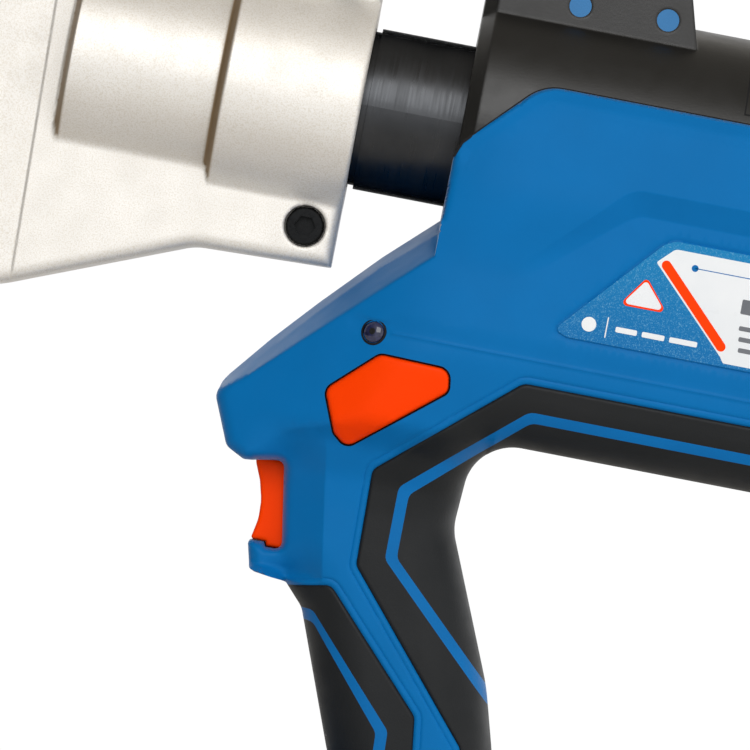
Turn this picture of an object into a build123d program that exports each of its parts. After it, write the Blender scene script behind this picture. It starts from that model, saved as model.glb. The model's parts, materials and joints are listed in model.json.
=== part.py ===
from build123d import *
import os
from math import acos, cos, pi, radians, sin, tan

# Cordless hydraulic crimping tool: a pistol-grip body with a C-shaped head that swivels on the ram axis.
#
# Frame: +X forward along the ram, +Y to the tool's left, +Z up. The origin is the middle of the battery's
# flat underside, on which the tool stands. Lengths are millimetres.
#
# Side-view places are (u, v): u forward from the visible front end of the coupling sleeve, v up from the
# ram axis.

os.makedirs("parts", exist_ok=True)

# ---------------------------------------------------------------- driving dimensions
AXIS_Z = 262.0  # ram axis above the surface that the battery stands on
DATUM_X = 12.0  # u = 0 in the object's frame
RUNNING = 0.05  # radial clearance of a running fit
FREE = 0.3  # clearance of parts that move without touching

SLEEVE_R, SLEEVE_BACK_U, SLEEVE_FRONT_U = 21.5, -57.0, 20.0
OIL_R = 5.0
PISTON_R, PISTON_BACK_U, PISTON_FRONT_U = 21.0, 20.5, 36.0
CHAMBER_FRONT_U = 69.5
ROD_R = 12.0
SPRING_SEAT_U = 23.5  # floor of the pocket in the piston that takes the return spring
GUIDE_BACK_U, GUIDE_FRONT_U, GUIDE_R = 71.0, 76.0, ROD_R + 2
WIPER_BACK_U, WIPER_FRONT_U, WIPER_R = 96.0, 99.0, ROD_R + 1.2
TRAVEL = 32.0  # of the ram, which is also the gap between the open die faces

HEAD_BACK_U = 1.7
HEAD_STEP_U = 38.0  # where the rear boss steps down to the front boss
BOSS_FRONT_U = 80.5
MACHINED_U = 84.6  # in front of this the C is machined slightly thinner
THROAT_BACK_U, THROAT_FRONT_U, THROAT_FLOOR_V = 101.0, 160.0, -25.0
HEAD_FRONT_U = 206.0
PLATE_HALF, MACHINED_HALF = 15.0, 14.6
REAR_BOSS_R, FRONT_BOSS_R = 30.0, 26.5
CLAMP_U, CLAMP_V = 10.3, 33.8
SLIT = 1.2
DIE_R, DIE_HALF = 16.0, 12.0
MOVING_FACE_U = 124.0
FIXED_FACE_U = MOVING_FACE_U + TRAVEL
HEX_FLATS = 14.0
BUTTON_R = 4.5

BARREL_R, BARREL_WALL, BARREL_BEVEL = 36.9, 2.4, 3.4
BARREL_FRONT_U, BARREL_BACK_U = -25.0, -192.0
BARREL_NOTCH_U, BARREL_NOTCH_V = -29.0, -9.4  # the housing's front wall fills this corner of the barrel
CAP_BACK_U = -203.0
HOUSING_FRONT_U = -24.4
BODY_HALF, LABEL_HALF, GRIP_HALF = 39.0, 35.0, 18.5
SHELL_WALL, RUBBER, SHELL_GAP = 4.4, 2.0, 0.15
UNDERSIDE_V = -80.2
SADDLE_HALF, SADDLE_TOP_V = 21.0, 46.0
PLUGS = ((-49.5, 35.9), (-72.6, 36.5))
PLUG_R = 2.9
EYE_PINS, EYE_PIN_HALF = ((-51.5, 41.2), (-70.6, 41.2)), 16.0
EYE_V, EYE_HOLE_R, EYE_R, EYE_HALF = 60.0, 8.0, 14.0, 3.0

POCKET_FRONT_U, POCKET_BACK_U = -29.3, -58.0
PUMP_R, PUMP_BACK_U = 32.0, -94.0
CAM_BORE_R, CAM_FRONT_U = 14.5, -70.0
ECCENTRIC_THROW, CRANK_RING_R = 1.5, 11.0
PLUNGER_U, PLUNGER_R = -78.0, 4.0

MODULE = 0.75
SUN_TEETH, PLANET_TEETH, RING_TEETH = 12, 18, 48
GEAR_FRONT_U, GEAR_BACK_U = -101.0, -110.0
PLANETS = 3
ORBIT_R = MODULE * (SUN_TEETH + PLANET_TEETH) / 2
GEAR_SLACK = 0.12
MOTOR_FRONT_U, MOTOR_BACK_U, MOTOR_R = -116.0, -180.0, 23.0

LED = (-12.7, -57.7)
TRIGGER_HALF = 6.5
WORK_LIGHT_V, WORK_LIGHT_R = -87.5, 3.0
FOOT_BOTTOM_V = -206.0
BATTERY_BACK_U, BATTERY_FRONT_U, BATTERY_HALF = -70.0, 46.0, 37.0
TONGUE_HALF, TONGUE_TOP_V, LIP_V = 26.0, -198.5, -203.0

# (u, v, half width of the body there) of the screws that join the housing halves
HOUSING_SCREWS = (
    (-33, -48, LABEL_HALF), (4, -84, 21), (-112, -71, 32), (-158, -47, LABEL_HALF),
    (-39, -140, GRIP_HALF), (-56, -182, GRIP_HALF),
)


# ---------------------------------------------------------------- shared forms
def side(y=0.0):
    """Plane of the side view at y: local x is u, local y is v, and extrusions go to the tool's right."""
    return Plane(origin=(DATUM_X, y, AXIS_Z), x_dir=(1, 0, 0), z_dir=(0, -1, 0))


def across(u, v=0.0):
    """Plane square to the ram at u: local x is +Y, local y is +Z, and extrusions go forward."""
    return Plane(origin=(DATUM_X + u, 0, AXIS_Z + v), x_dir=(0, 1, 0), z_dir=(1, 0, 0))


def level(v, u=0.0):
    """Level plane at v: local x is +X from u, local y is +Y, and extrusions go up."""
    return Plane(origin=(DATUM_X + u, 0, AXIS_Z + v), x_dir=(1, 0, 0), z_dir=(0, 0, 1))


def save(part, name):
    part.label = name
    export_step(part, f"parts/{name}.step")


def tube(back_u, front_u, outer, inner=0.0, v=0.0):
    """A round bar or tube along the ram's direction."""
    with BuildPart() as made:
        with BuildSketch(across(back_u, v)):
            Circle(outer)
            if inner:
                Circle(inner, mode=Mode.SUBTRACT)
        extrude(amount=front_u - back_u)
    return made.part


def spring(plane, radius, wire, length, turns):
    """An open coil along the plane's normal."""
    with BuildPart() as made:
        with BuildLine() as path:
            Helix(length / turns, length, radius, center=plane.origin, direction=plane.z_dir)
        with BuildSketch(Plane(origin=path.line @ 0, z_dir=path.line % 0)):
            Circle(wire / 2)
        sweep(is_frenet=True)
    return made.part


def involute(angle):
    return tan(angle) - angle


def gear_points(teeth, root_r, tip_r, slack):
    """Corners of a 20 degree involute gear with a tooth at angle 0 and slack taken off each flank."""
    pitch_r = MODULE * teeth / 2
    base_r = pitch_r * cos(radians(20))
    flank = []
    for r in (root_r, (root_r + pitch_r) / 2, pitch_r, (pitch_r + tip_r) / 2, tip_r):
        turned = involute(acos(min(1, base_r / r)))
        flank.append((r, pi / (2 * teeth) + involute(radians(20)) - turned - slack / pitch_r))
    points = []
    for tooth in range(teeth):
        middle = 2 * pi * tooth / teeth
        points += [(r * cos(middle - half), r * sin(middle - half)) for r, half in flank]
        points += [(r * cos(middle + half), r * sin(middle + half)) for r, half in reversed(flank)]
    return points


# ---------------------------------------------------------------- head: C-frame
C_OUTLINE = (
    (HEAD_BACK_U, 42.9), (38.2, 44.1), (66, 45), (88, 41), (THROAT_BACK_U, 31),
    (THROAT_BACK_U, THROAT_FLOOR_V), (THROAT_FRONT_U, THROAT_FLOOR_V), (THROAT_FRONT_U, 30),
    (166, 37), (180, 37), (194, 28), (HEAD_FRONT_U, 8), (HEAD_FRONT_U, -22), (196, -46),
    (176, -62), (150, -69), (104, -69), (85.2, -62.9), (38.2, -44.1), (HEAD_BACK_U, -42.9),
)


def is_upright(edge, low_u, high_u, low_v, high_v):
    """True for an edge that runs across the tool inside a box of the side view."""
    u, v = edge.center().X - DATUM_X, edge.center().Z - AXIS_Z
    return low_u < u < high_u and low_v < v < high_v


with BuildPart() as head_frame:
    with BuildSketch(side()):
        Polygon(*C_OUTLINE, align=None)
    extrude(amount=PLATE_HALF, both=True)
    across_edges = head_frame.edges().filter_by(Axis.Y)
    fillet([e for e in across_edges if is_upright(e, 158, 161, -26, -24)], radius=14)
    across_edges = head_frame.edges().filter_by(Axis.Y)
    fillet([e for e in across_edges if is_upright(e, 100, 102, -26, -24)], radius=4)
    across_edges = head_frame.edges().filter_by(Axis.Y)
    fillet([e for e in across_edges if is_upright(e, 30, 112, -70, -40)], radius=14)
    across_edges = head_frame.edges().filter_by(Axis.Y)
    fillet([e for e in across_edges if is_upright(e, 175, 207, -70, 38)], radius=22)
    fillet(head_frame.faces().filter_by(Axis.Y).edges(), radius=3)
    # the C is machined a little thinner than the cast plate behind it
    with BuildSketch(across(MACHINED_U)):
        with Locations((MACHINED_HALF + 5, 0), (-MACHINED_HALF - 5, 0)):
            Rectangle(10, 200)
    extrude(amount=HEAD_FRONT_U, mode=Mode.SUBTRACT)
    # bosses over the cylinder
    with BuildSketch(across(HEAD_STEP_U)):
        Circle(FRONT_BOSS_R)
    extrude(amount=BOSS_FRONT_U - HEAD_STEP_U)
    with BuildSketch(across(HEAD_BACK_U)):
        Circle(REAR_BOSS_R)
    extrude(amount=HEAD_STEP_U - HEAD_BACK_U)
    chamfer(head_frame.edges().filter_by(GeomType.CIRCLE).filter_by(
        lambda e: e.radius > FRONT_BOSS_R - 0.1 and abs(e.center().Y) > PLATE_HALF), length=1.5)
    # bores for the sleeve, the piston and its rod
    for back, front, radius in (
        (HEAD_BACK_U, SLEEVE_FRONT_U, SLEEVE_R),
        (SLEEVE_FRONT_U, CHAMBER_FRONT_U, PISTON_R + RUNNING),
        (CHAMBER_FRONT_U, THROAT_BACK_U + 1, ROD_R + RUNNING),
        (GUIDE_BACK_U, GUIDE_FRONT_U, GUIDE_R),
        (WIPER_BACK_U, WIPER_FRONT_U, WIPER_R),
    ):
        with BuildSketch(across(back)):
            Circle(radius)
        extrude(amount=front - back, mode=Mode.SUBTRACT)
    # slit lugs with a screw through each
    with BuildSketch(across(HEAD_BACK_U)):
        Rectangle(SLIT, 100)
    extrude(amount=SLEEVE_FRONT_U - HEAD_BACK_U, mode=Mode.SUBTRACT)
    for sign in (-1, 1):
        with BuildSketch(side(PLATE_HALF)):
            with Locations((CLAMP_U, sign * CLAMP_V)):
                Circle(3.1)
        extrude(amount=2 * PLATE_HALF - 3, mode=Mode.SUBTRACT)
        with BuildSketch(side(PLATE_HALF)):
            with Locations((CLAMP_U, sign * CLAMP_V)):
                Circle(5.5)
        extrude(amount=7, mode=Mode.SUBTRACT)
    # seat of the fixed die, and the hole of its button
    with BuildSketch(side()):
        with Locations((FIXED_FACE_U, 0)):
            Circle(DIE_R)
    extrude(amount=PLATE_HALF + 1, both=True, mode=Mode.SUBTRACT)
    with BuildSketch(side(PLATE_HALF)):
        with Locations((184, 0)):
            Circle(BUTTON_R + RUNNING)
    extrude(amount=12, mode=Mode.SUBTRACT)
save(head_frame.part, "head_frame")

with BuildPart() as clamp_screws:
    for sign in (-1, 1):
        with BuildSketch(side(PLATE_HALF - 1)):
            with Locations((CLAMP_U, sign * CLAMP_V)):
                Circle(5)
        extrude(amount=6)
        with BuildSketch(side(PLATE_HALF - 7)):
            with Locations((CLAMP_U, sign * CLAMP_V)):
                Circle(3)
        extrude(amount=19)
    chamfer(clamp_screws.faces().sort_by(Axis.Y)[-2:].edges(), length=0.5)
    with BuildSketch(side(PLATE_HALF - 1)):
        with Locations((CLAMP_U, CLAMP_V), (CLAMP_U, -CLAMP_V)):
            RegularPolygon(2.5, 6, major_radius=False)
    extrude(amount=3.2, mode=Mode.SUBTRACT)
save(clamp_screws.part, "clamp_screws")

# ---------------------------------------------------------------- head: cylinder and ram
with BuildPart() as coupling_sleeve:
    with BuildSketch(across(SLEEVE_BACK_U)):
        Circle(SLEEVE_R)
    extrude(amount=SLEEVE_FRONT_U - SLEEVE_BACK_U)
    chamfer(coupling_sleeve.edges().filter_by(GeomType.CIRCLE), length=0.8)
    with BuildSketch(across(SLEEVE_BACK_U)):
        Circle(OIL_R)
    extrude(amount=SLEEVE_FRONT_U - SLEEVE_BACK_U, mode=Mode.SUBTRACT)
    # the dark joint groove, the seal grooves and the retaining groove
    for back, front, depth in ((0, HEAD_BACK_U, 1.0), (8, 11, 2.0), (14, 17, 2.0), (-49.5, -47.5, 1.5)):
        with BuildSketch(across(back)):
            Circle(SLEEVE_R + 1)
            Circle(SLEEVE_R - depth, mode=Mode.SUBTRACT)
        extrude(amount=front - back, mode=Mode.SUBTRACT)
save(coupling_sleeve.part, "coupling_sleeve")

with BuildPart() as sleeve_orings:
    for middle in (9.5, 15.5):
        with BuildSketch(Plane(origin=(DATUM_X + middle, 0, AXIS_Z), x_dir=(1, 0, 0), z_dir=(0, -1, 0))):
            with Locations((0, SLEEVE_R - 1.05)):
                Circle(0.9)
        revolve(axis=Axis((DATUM_X, 0, AXIS_Z), (1, 0, 0)))
save(sleeve_orings.part, "sleeve_orings")

save(tube(-49.4, -47.6, 24.0, SLEEVE_R - 1.4), "retaining_ring")

with BuildPart() as ram_piston:
    with BuildSketch(across(PISTON_BACK_U)):
        Circle(PISTON_R)
    extrude(amount=PISTON_FRONT_U - PISTON_BACK_U)
    with BuildSketch(across(PISTON_FRONT_U)):
        Circle(ROD_R)
    extrude(amount=THROAT_BACK_U + 1 - PISTON_FRONT_U)
    with BuildSketch(across(THROAT_BACK_U + 1)):
        Circle(8)
    extrude(amount=4)
    with BuildSketch(across(26)):
        Circle(PISTON_R + 1)
        Circle(PISTON_R - 3, mode=Mode.SUBTRACT)
    extrude(amount=4, mode=Mode.SUBTRACT)
    with BuildSketch(across(SPRING_SEAT_U)):
        Circle(16.3)
        Circle(ROD_R, mode=Mode.SUBTRACT)
    extrude(amount=PISTON_FRONT_U - SPRING_SEAT_U, mode=Mode.SUBTRACT)
save(ram_piston.part, "ram_piston")
save(tube(26, 30, PISTON_R, PISTON_R - 3), "piston_seal")
save(tube(GUIDE_BACK_U, GUIDE_FRONT_U, GUIDE_R, ROD_R + RUNNING), "rod_guide_ring")
save(tube(WIPER_BACK_U, WIPER_FRONT_U, WIPER_R, ROD_R + RUNNING), "rod_wiper")
spring_length = CHAMBER_FRONT_U - SPRING_SEAT_U - 3
save(spring(across(SPRING_SEAT_U + 1.5), 14.2, 2.6, spring_length, 5), "return_spring")

RAM_HEAD_BACK_U, RAM_HEAD_FRONT_U, RAM_HEAD_V = THROAT_BACK_U + 1, 120.0, 20.5
with BuildPart() as ram_head:
    with BuildSketch(side()):
        with Locations(((RAM_HEAD_BACK_U + RAM_HEAD_FRONT_U) / 2, 0)):
            Rectangle(RAM_HEAD_FRONT_U - RAM_HEAD_BACK_U, 2 * RAM_HEAD_V)
    extrude(amount=13, both=True)
    fillet(ram_head.edges().filter_by(Axis.X), radius=3)
    chamfer(ram_head.faces().sort_by(Axis.X)[0].edges(), length=1)
    with BuildSketch(side()):
        with Locations((MOVING_FACE_U, 0)):
            Circle(DIE_R)
    extrude(amount=14, both=True, mode=Mode.SUBTRACT)
    with BuildSketch(across(RAM_HEAD_BACK_U)):
        Circle(8)
    extrude(amount=4, mode=Mode.SUBTRACT)
    with BuildSketch(side(13)):
        with Locations((105.2, 15)):
            Circle(2.5 + RUNNING)
    extrude(amount=9, mode=Mode.SUBTRACT)
save(ram_head.part, "ram_head")


def half_die(face_u, sign):
    """One half of a pair of hexagonal dies, with its flat at face_u and its round back towards sign."""
    with BuildPart() as made:
        with BuildSketch(side()):
            with Locations((face_u, 0)):
                Circle(DIE_R)
            with Locations((face_u - sign * 2 * DIE_R, 0)):
                Rectangle(4 * DIE_R, 3 * DIE_R, mode=Mode.SUBTRACT)
            with Locations((face_u, 0)):
                RegularPolygon(HEX_FLATS / 2, 6, major_radius=False, rotation=30, mode=Mode.SUBTRACT)
        extrude(amount=DIE_HALF, both=True)
        rims = [e for e in made.edges() if abs(abs(e.center().Y) - DIE_HALF) < 0.01]
        chamfer(rims, length=0.6)
    return made.part


save(half_die(MOVING_FACE_U, -1), "moving_die")
save(half_die(FIXED_FACE_U, 1), "fixed_die")


def press_button(u, v, radius, face_y, proud, depth):
    """A round push button across the tool with a domed cap."""
    with BuildPart() as made:
        with BuildSketch(side(face_y + proud)):
            with Locations((u, v)):
                Circle(radius)
        extrude(amount=proud + depth)
        chamfer(made.faces().sort_by(Axis.Y)[-1].edges(), length=0.7)
    return made.part


save(press_button(184, 0, BUTTON_R, MACHINED_HALF, 3.2, 7), "frame_die_button")
save(press_button(105.2, 15, 2.5, 13, 1.4, 6), "ram_die_button")

# ---------------------------------------------------------------- body: pump
save(tube(-46.5, POCKET_FRONT_U, 25.5, SLEEVE_R + RUNNING), "swivel_bush")

with BuildPart() as pump_body:
    with BuildSketch(across(POCKET_BACK_U)):
        Circle(28.5)
        Circle(25.5, mode=Mode.SUBTRACT)
    extrude(amount=POCKET_FRONT_U - POCKET_BACK_U)
    with BuildSketch(across(PUMP_BACK_U)):
        Circle(PUMP_R)
    extrude(amount=POCKET_BACK_U - PUMP_BACK_U)
    chamfer(pump_body.faces().sort_by(Axis.X)[0].edges(), length=1)
    with BuildSketch(across(PUMP_BACK_U)):
        Circle(CAM_BORE_R)
    extrude(amount=CAM_FRONT_U - PUMP_BACK_U, mode=Mode.SUBTRACT)
    with BuildSketch(across(CAM_FRONT_U)):
        Circle(OIL_R)
    extrude(amount=20, mode=Mode.SUBTRACT)
    with BuildSketch(level(-PUMP_R, PLUNGER_U)):
        Circle(PLUNGER_R + RUNNING)
    extrude(amount=PUMP_R - 5, mode=Mode.SUBTRACT)
    for sign in (-1, 1):
        with BuildSketch(across(PUMP_BACK_U)):
            with Locations((sign * 23, 10)):
                Circle(3)
        extrude(amount=12, mode=Mode.SUBTRACT)
save(pump_body.part, "pump_body")

PLUNGER_TOP_V = -(CRANK_RING_R + ECCENTRIC_THROW + 0.3)
with BuildPart() as pump_plunger:
    with BuildSketch(level(-25, PLUNGER_U)):
        Circle(PLUNGER_R)
    extrude(amount=25 + PLUNGER_TOP_V)
save(pump_plunger.part, "pump_plunger")

with BuildPart() as pump_plugs:
    with BuildSketch(level(-PUMP_R - 1.5, PLUNGER_U)):
        RegularPolygon(4.5, 6, major_radius=False)
    extrude(amount=1.5)
    with BuildSketch(level(-PUMP_R, PLUNGER_U)):
        Circle(PLUNGER_R)
    extrude(amount=6)
    for sign in (-1, 1):
        with BuildSketch(across(PUMP_BACK_U + 2)):
            with Locations((sign * 23, 10)):
                Circle(3)
        extrude(amount=10)
save(pump_plugs.part, "pump_plugs")

save(tube(-57, -30, 33.5, 28.8), "oil_reservoir")

with BuildPart() as crank_shaft:
    with BuildSketch(across(-96)):
        Circle(5)
    extrude(amount=23)
    with BuildSketch(across(-84, ECCENTRIC_THROW)):
        Circle(CRANK_RING_R - 3.5)
    extrude(amount=10)
save(crank_shaft.part, "crank_shaft")
save(tube(-83, -75, CRANK_RING_R, CRANK_RING_R - 3.5, ECCENTRIC_THROW), "crank_ring")
save(tube(-94, -87, CAM_BORE_R, 5 + RUNNING), "crank_bearing")

# ---------------------------------------------------------------- body: gearbox and motor
with BuildPart() as planet_carrier:
    with BuildSketch(across(GEAR_FRONT_U + 0.4)):
        Circle(16.5)
    extrude(amount=4.4)
    with BuildSketch(across(GEAR_BACK_U)):
        with PolarLocations(ORBIT_R, PLANETS, start_angle=90):
            Circle(2)
    extrude(amount=GEAR_FRONT_U + 0.4 - GEAR_BACK_U)
    with BuildSketch(across(-97)):
        Circle(5)
    extrude(amount=5, mode=Mode.SUBTRACT)
save(planet_carrier.part, "planet_carrier")

planet_tip = MODULE * (PLANET_TEETH / 2 + 0.9)
planet_root = MODULE * (PLANET_TEETH / 2 - 1.2)
planet_step = 360 / PLANET_TEETH
for index in range(PLANETS):
    orbit_angle = 90 + 360 / PLANETS * index
    orbit = (ORBIT_R * cos(radians(orbit_angle)), ORBIT_R * sin(radians(orbit_angle)))
    # a planet's gap meets the sun tooth that lies along its arm
    sun_phase = (orbit_angle * SUN_TEETH / 360) % 1
    turn = orbit_angle + 180 + planet_step * (0.5 + sun_phase)
    with BuildPart() as planet:
        with BuildSketch(across(GEAR_BACK_U)):
            with Locations(orbit):
                teeth = gear_points(PLANET_TEETH, planet_root, planet_tip, GEAR_SLACK)
                Polygon(*teeth, rotation=turn, align=None)
                Circle(2 + RUNNING, mode=Mode.SUBTRACT)
        extrude(amount=GEAR_FRONT_U - GEAR_BACK_U)
    save(planet.part, f"planet_{index + 1}")

ring_tip = MODULE * (RING_TEETH / 2 - 0.9)
ring_root = MODULE * (RING_TEETH / 2 + 1.2)
with BuildPart() as ring_gear:
    with BuildSketch(across(GEAR_BACK_U)):
        Circle(23)
        # the spaces of the ring are the teeth of a gear with negative slack
        space = gear_points(RING_TEETH, ring_tip, ring_root, -GEAR_SLACK)
        Polygon(*space, rotation=90 + 180 / RING_TEETH, align=None, mode=Mode.SUBTRACT)
    extrude(amount=GEAR_FRONT_U - GEAR_BACK_U)
save(ring_gear.part, "ring_gear")

with BuildPart() as gearbox_case:
    with BuildSketch(across(MOTOR_FRONT_U)):
        Circle(PUMP_R)
    extrude(amount=PUMP_BACK_U - MOTOR_FRONT_U)
    with BuildSketch(across(GEAR_BACK_U)):
        Circle(23)
    extrude(amount=PUMP_BACK_U - GEAR_BACK_U, mode=Mode.SUBTRACT)
    with BuildSketch(across(MOTOR_FRONT_U)):
        Circle(8)
    extrude(amount=10, mode=Mode.SUBTRACT)
save(gearbox_case.part, "gearbox_case")

with BuildPart() as motor_can:
    with BuildSketch(across(MOTOR_BACK_U)):
        Circle(MOTOR_R)
    extrude(amount=MOTOR_FRONT_U - MOTOR_BACK_U)
    chamfer(motor_can.faces().sort_by(Axis.X)[-1].edges(), length=1.5)
    with BuildSketch(across(MOTOR_BACK_U)):
        Circle(MOTOR_R - 1.8)
    extrude(amount=MOTOR_FRONT_U - MOTOR_BACK_U - 3, mode=Mode.SUBTRACT)
    with BuildSketch(across(MOTOR_FRONT_U - 4)):
        Circle(4)
    extrude(amount=5, mode=Mode.SUBTRACT)
save(motor_can.part, "motor_can")

with BuildPart() as motor_magnets:
    with BuildSketch(across(-168)):
        Circle(MOTOR_R - 1.8)
        Circle(16.5, mode=Mode.SUBTRACT)
        Rectangle(12, 60, mode=Mode.SUBTRACT)
    extrude(amount=42)
save(motor_magnets.part, "motor_magnets")

sun_tip = MODULE * (SUN_TEETH / 2 + 0.9)
sun_root = MODULE * (SUN_TEETH / 2 - 1.2)
with BuildPart() as motor_rotor:
    with BuildSketch(across(-178)):
        Circle(2.5)
    extrude(amount=178 + GEAR_BACK_U)
    with BuildSketch(across(GEAR_BACK_U)):
        Polygon(*gear_points(SUN_TEETH, sun_root, sun_tip, GEAR_SLACK), rotation=90, align=None)
    extrude(amount=GEAR_FRONT_U - GEAR_BACK_U)
    with BuildSketch(across(-166)):
        Circle(15.8)
        with PolarLocations(15.8, 5):
            Rectangle(10, 2.5, mode=Mode.SUBTRACT)
    extrude(amount=38)
    with BuildSketch(across(-175)):
        Circle(7)
    extrude(amount=9)
save(motor_rotor.part, "motor_rotor")

with BuildPart() as motor_end_bell:
    with BuildSketch(across(MOTOR_BACK_U - 3)):
        Circle(MOTOR_R)
    extrude(amount=3)
    with BuildSketch(across(MOTOR_BACK_U)):
        Circle(MOTOR_R - 1.8)
        Circle(12, mode=Mode.SUBTRACT)
    extrude(amount=4)
    with BuildSketch(across(MOTOR_BACK_U - 3)):
        with Locations((14, 0), (-14, 0)):
            Rectangle(4, 9)
    extrude(amount=-3)
save(motor_end_bell.part, "motor_end_bell")

# ---------------------------------------------------------------- body: upper barrel
with BuildPart() as saddle:
    with BuildSketch(side()):
        Polygon((BARREL_FRONT_U, 20), (BARREL_FRONT_U, SADDLE_TOP_V - 2), (-27, SADDLE_TOP_V),
                (-76.5, SADDLE_TOP_V), (-78, 43), (-83, 25), (-83, 20), align=None)
    extrude(amount=SADDLE_HALF, both=True)
    chamfer(saddle.faces().sort_by(Axis.Z)[-1].edges().filter_by(Axis.X), length=1.5)
    # its front corners follow the bevel of the barrel
    with BuildSketch(level(0)):
        Polygon((BARREL_FRONT_U, BARREL_BEVEL - SADDLE_HALF), (BARREL_FRONT_U - BARREL_BEVEL, -SADDLE_HALF),
                (-90, -SADDLE_HALF), (-90, SADDLE_HALF), (BARREL_FRONT_U - BARREL_BEVEL, SADDLE_HALF),
                (BARREL_FRONT_U, SADDLE_HALF - BARREL_BEVEL), align=None)
    extrude(amount=60, mode=Mode.INTERSECT)

with BuildPart() as barrel_cover:
    with BuildSketch(across(BARREL_BACK_U)):
        Circle(BARREL_R)
    extrude(amount=BARREL_FRONT_U - BARREL_BACK_U)
    chamfer(barrel_cover.faces().sort_by(Axis.X)[-1].edges(), length=BARREL_BEVEL)
    add(saddle)
    with BuildSketch(across(BARREL_BACK_U)):
        Circle(BARREL_R - BARREL_WALL)
    extrude(amount=BARREL_FRONT_U - 3 - BARREL_BACK_U, mode=Mode.SUBTRACT)
    with BuildSketch(across(BARREL_FRONT_U - 4)):
        Circle(SLEEVE_R + 0.6)
    extrude(amount=5, mode=Mode.SUBTRACT)
    # the housing covers the lower front
    with BuildSketch(side()):
        with Locations((BARREL_NOTCH_U + 10, BARREL_NOTCH_V - 20)):
            Rectangle(20, 40)
    extrude(amount=BODY_HALF, both=True, mode=Mode.SUBTRACT)
    # slot of the hanging eye, holes of its pins, and the plug seats
    with BuildSketch(side()):
        Polygon((-45, 37), (-77, 37), (-77, 50), (-45, 50), align=None)
    extrude(amount=EYE_HALF, both=True, mode=Mode.SUBTRACT)
    with BuildSketch(side(EYE_PIN_HALF)):
        with Locations(*EYE_PINS):
            Circle(2)
    extrude(amount=2 * EYE_PIN_HALF, mode=Mode.SUBTRACT)
    for start, reach in ((SADDLE_HALF, 2), (2 - SADDLE_HALF, 2)):
        with BuildSketch(side(start)):
            with Locations(*PLUGS):
                Circle(PLUG_R)
        extrude(amount=reach, mode=Mode.SUBTRACT)
save(barrel_cover.part, "barrel_cover")

with BuildPart() as hanger_eye:
    with BuildSketch(side()):
        Polygon((-46, 37.6), (-76, 37.6), (-76, 44), (-72, 54), (-50, 54), (-46, 44), align=None)
        with Locations(((PLUGS[0][0] + PLUGS[1][0]) / 2, EYE_V)):
            Circle(EYE_R)
            Circle(EYE_HOLE_R, mode=Mode.SUBTRACT)
        with Locations(*EYE_PINS):
            Circle(2, mode=Mode.SUBTRACT)
    extrude(amount=EYE_HALF - 0.1, both=True)
save(hanger_eye.part, "hanger_eye")

with BuildPart() as eye_pins:
    with BuildSketch(side(EYE_PIN_HALF)):
        with Locations(*EYE_PINS):
            Circle(2)
    extrude(amount=2 * EYE_PIN_HALF)
save(eye_pins.part, "eye_pins")

with BuildPart() as saddle_plugs:
    for start in (SADDLE_HALF, 2 - SADDLE_HALF):
        with BuildSketch(side(start)):
            with Locations(*PLUGS):
                Circle(PLUG_R)
        extrude(amount=2)
save(saddle_plugs.part, "saddle_plugs")

with BuildPart() as rear_cap:
    with BuildSketch(across(CAP_BACK_U)):
        Circle(BARREL_R)
    extrude(amount=BARREL_BACK_U - CAP_BACK_U)
    chamfer(rear_cap.faces().sort_by(Axis.X)[0].edges(), length=5)
    with BuildSketch(across(CAP_BACK_U + 3)):
        Circle(BARREL_R - 6)
    extrude(amount=BARREL_BACK_U - CAP_BACK_U - 3, mode=Mode.SUBTRACT)
    with BuildSketch(across(BARREL_BACK_U)):
        Circle(BARREL_R - BARREL_WALL)
        Circle(BARREL_R - BARREL_WALL - 2.5, mode=Mode.SUBTRACT)
    extrude(amount=5)
    # vent slots
    with BuildSketch(across(CAP_BACK_U)):
        with GridLocations(0, 7, 1, 5):
            SlotOverall(34, 3)
    extrude(amount=4, mode=Mode.SUBTRACT)
save(rear_cap.part, "rear_cap")

# ---------------------------------------------------------------- body: housing
GRIP_REAR = (
    (-65.7, UNDERSIDE_V), (-55.6, -83.1), (-49.5, -88.2), (-45.2, -95.4), (-43.6, -102.1), (-45, -110.2),
    (-59.4, -143.5), (-66, -165), (-71, -186),
)
GRIP_FRONT = (
    (-27, -186), (-20.8, -166.7), (-7.6, -132.2), (-2, -126.2), (6.2, -125.1), (7.8, -124.5), (9.6, -117.8),
    (3.4, -118), (0.7, -116.1), (3.7, -96.8), (11.6, -96.4), (14.5, -96.7), (19.6, -94.1), (24.9, -81.7),
    (24.1, -77.1), (13.5, -64.3), (2.8, -52.4), (-11.2, -37.7),
)
BODY_OUTLINE = (
    (HOUSING_FRONT_U, -25.5), (HOUSING_FRONT_U, -9.4), (-28.3, -3), (-40.3, 9.3), (-47, 13),
    (-178, 13), (-190, 1), (-190, -34), (-172, -52), (-134, UNDERSIDE_V),
) + GRIP_REAR + GRIP_FRONT
FRONT_VIEW = (
    (BODY_HALF, 20), (BODY_HALF, -44), (LABEL_HALF, -57.5), (31, UNDERSIDE_V), (22, -88), (GRIP_HALF, -98),
    (GRIP_HALF, -190),
)
NOSE_HALF = 15.0
LABEL_THICK = 0.4
RELEASE_SPRING = (-19, -74)
RECESS = (
    (-20, -60), (-67.2, -20.8), (-73.6, -16.8), (-78.5, -15.8), (-158, -15.8), (-178, -36),
    (-178, -100), (-20, -100),
)
REAR_RUBBER = (
    (-128, -63.5), (-52.5, -63.5), (-50.5, -64.2), (-19.9, -92.8), (-19, -94), (-19.4, -115.9),
    (-19.9, -119.2), (-55.2, -160.1), (-60, -180), (-90, -180), (-90, -90), (-128, -90),
)
FRONT_RUBBER = (
    (-2.2, -127), (-12.7, -125), (-15.9, -126.4), (-41.9, -153.9), (-42.5, -155.6),
    (-46, -180), (5, -180), (5, -127),
)
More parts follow.
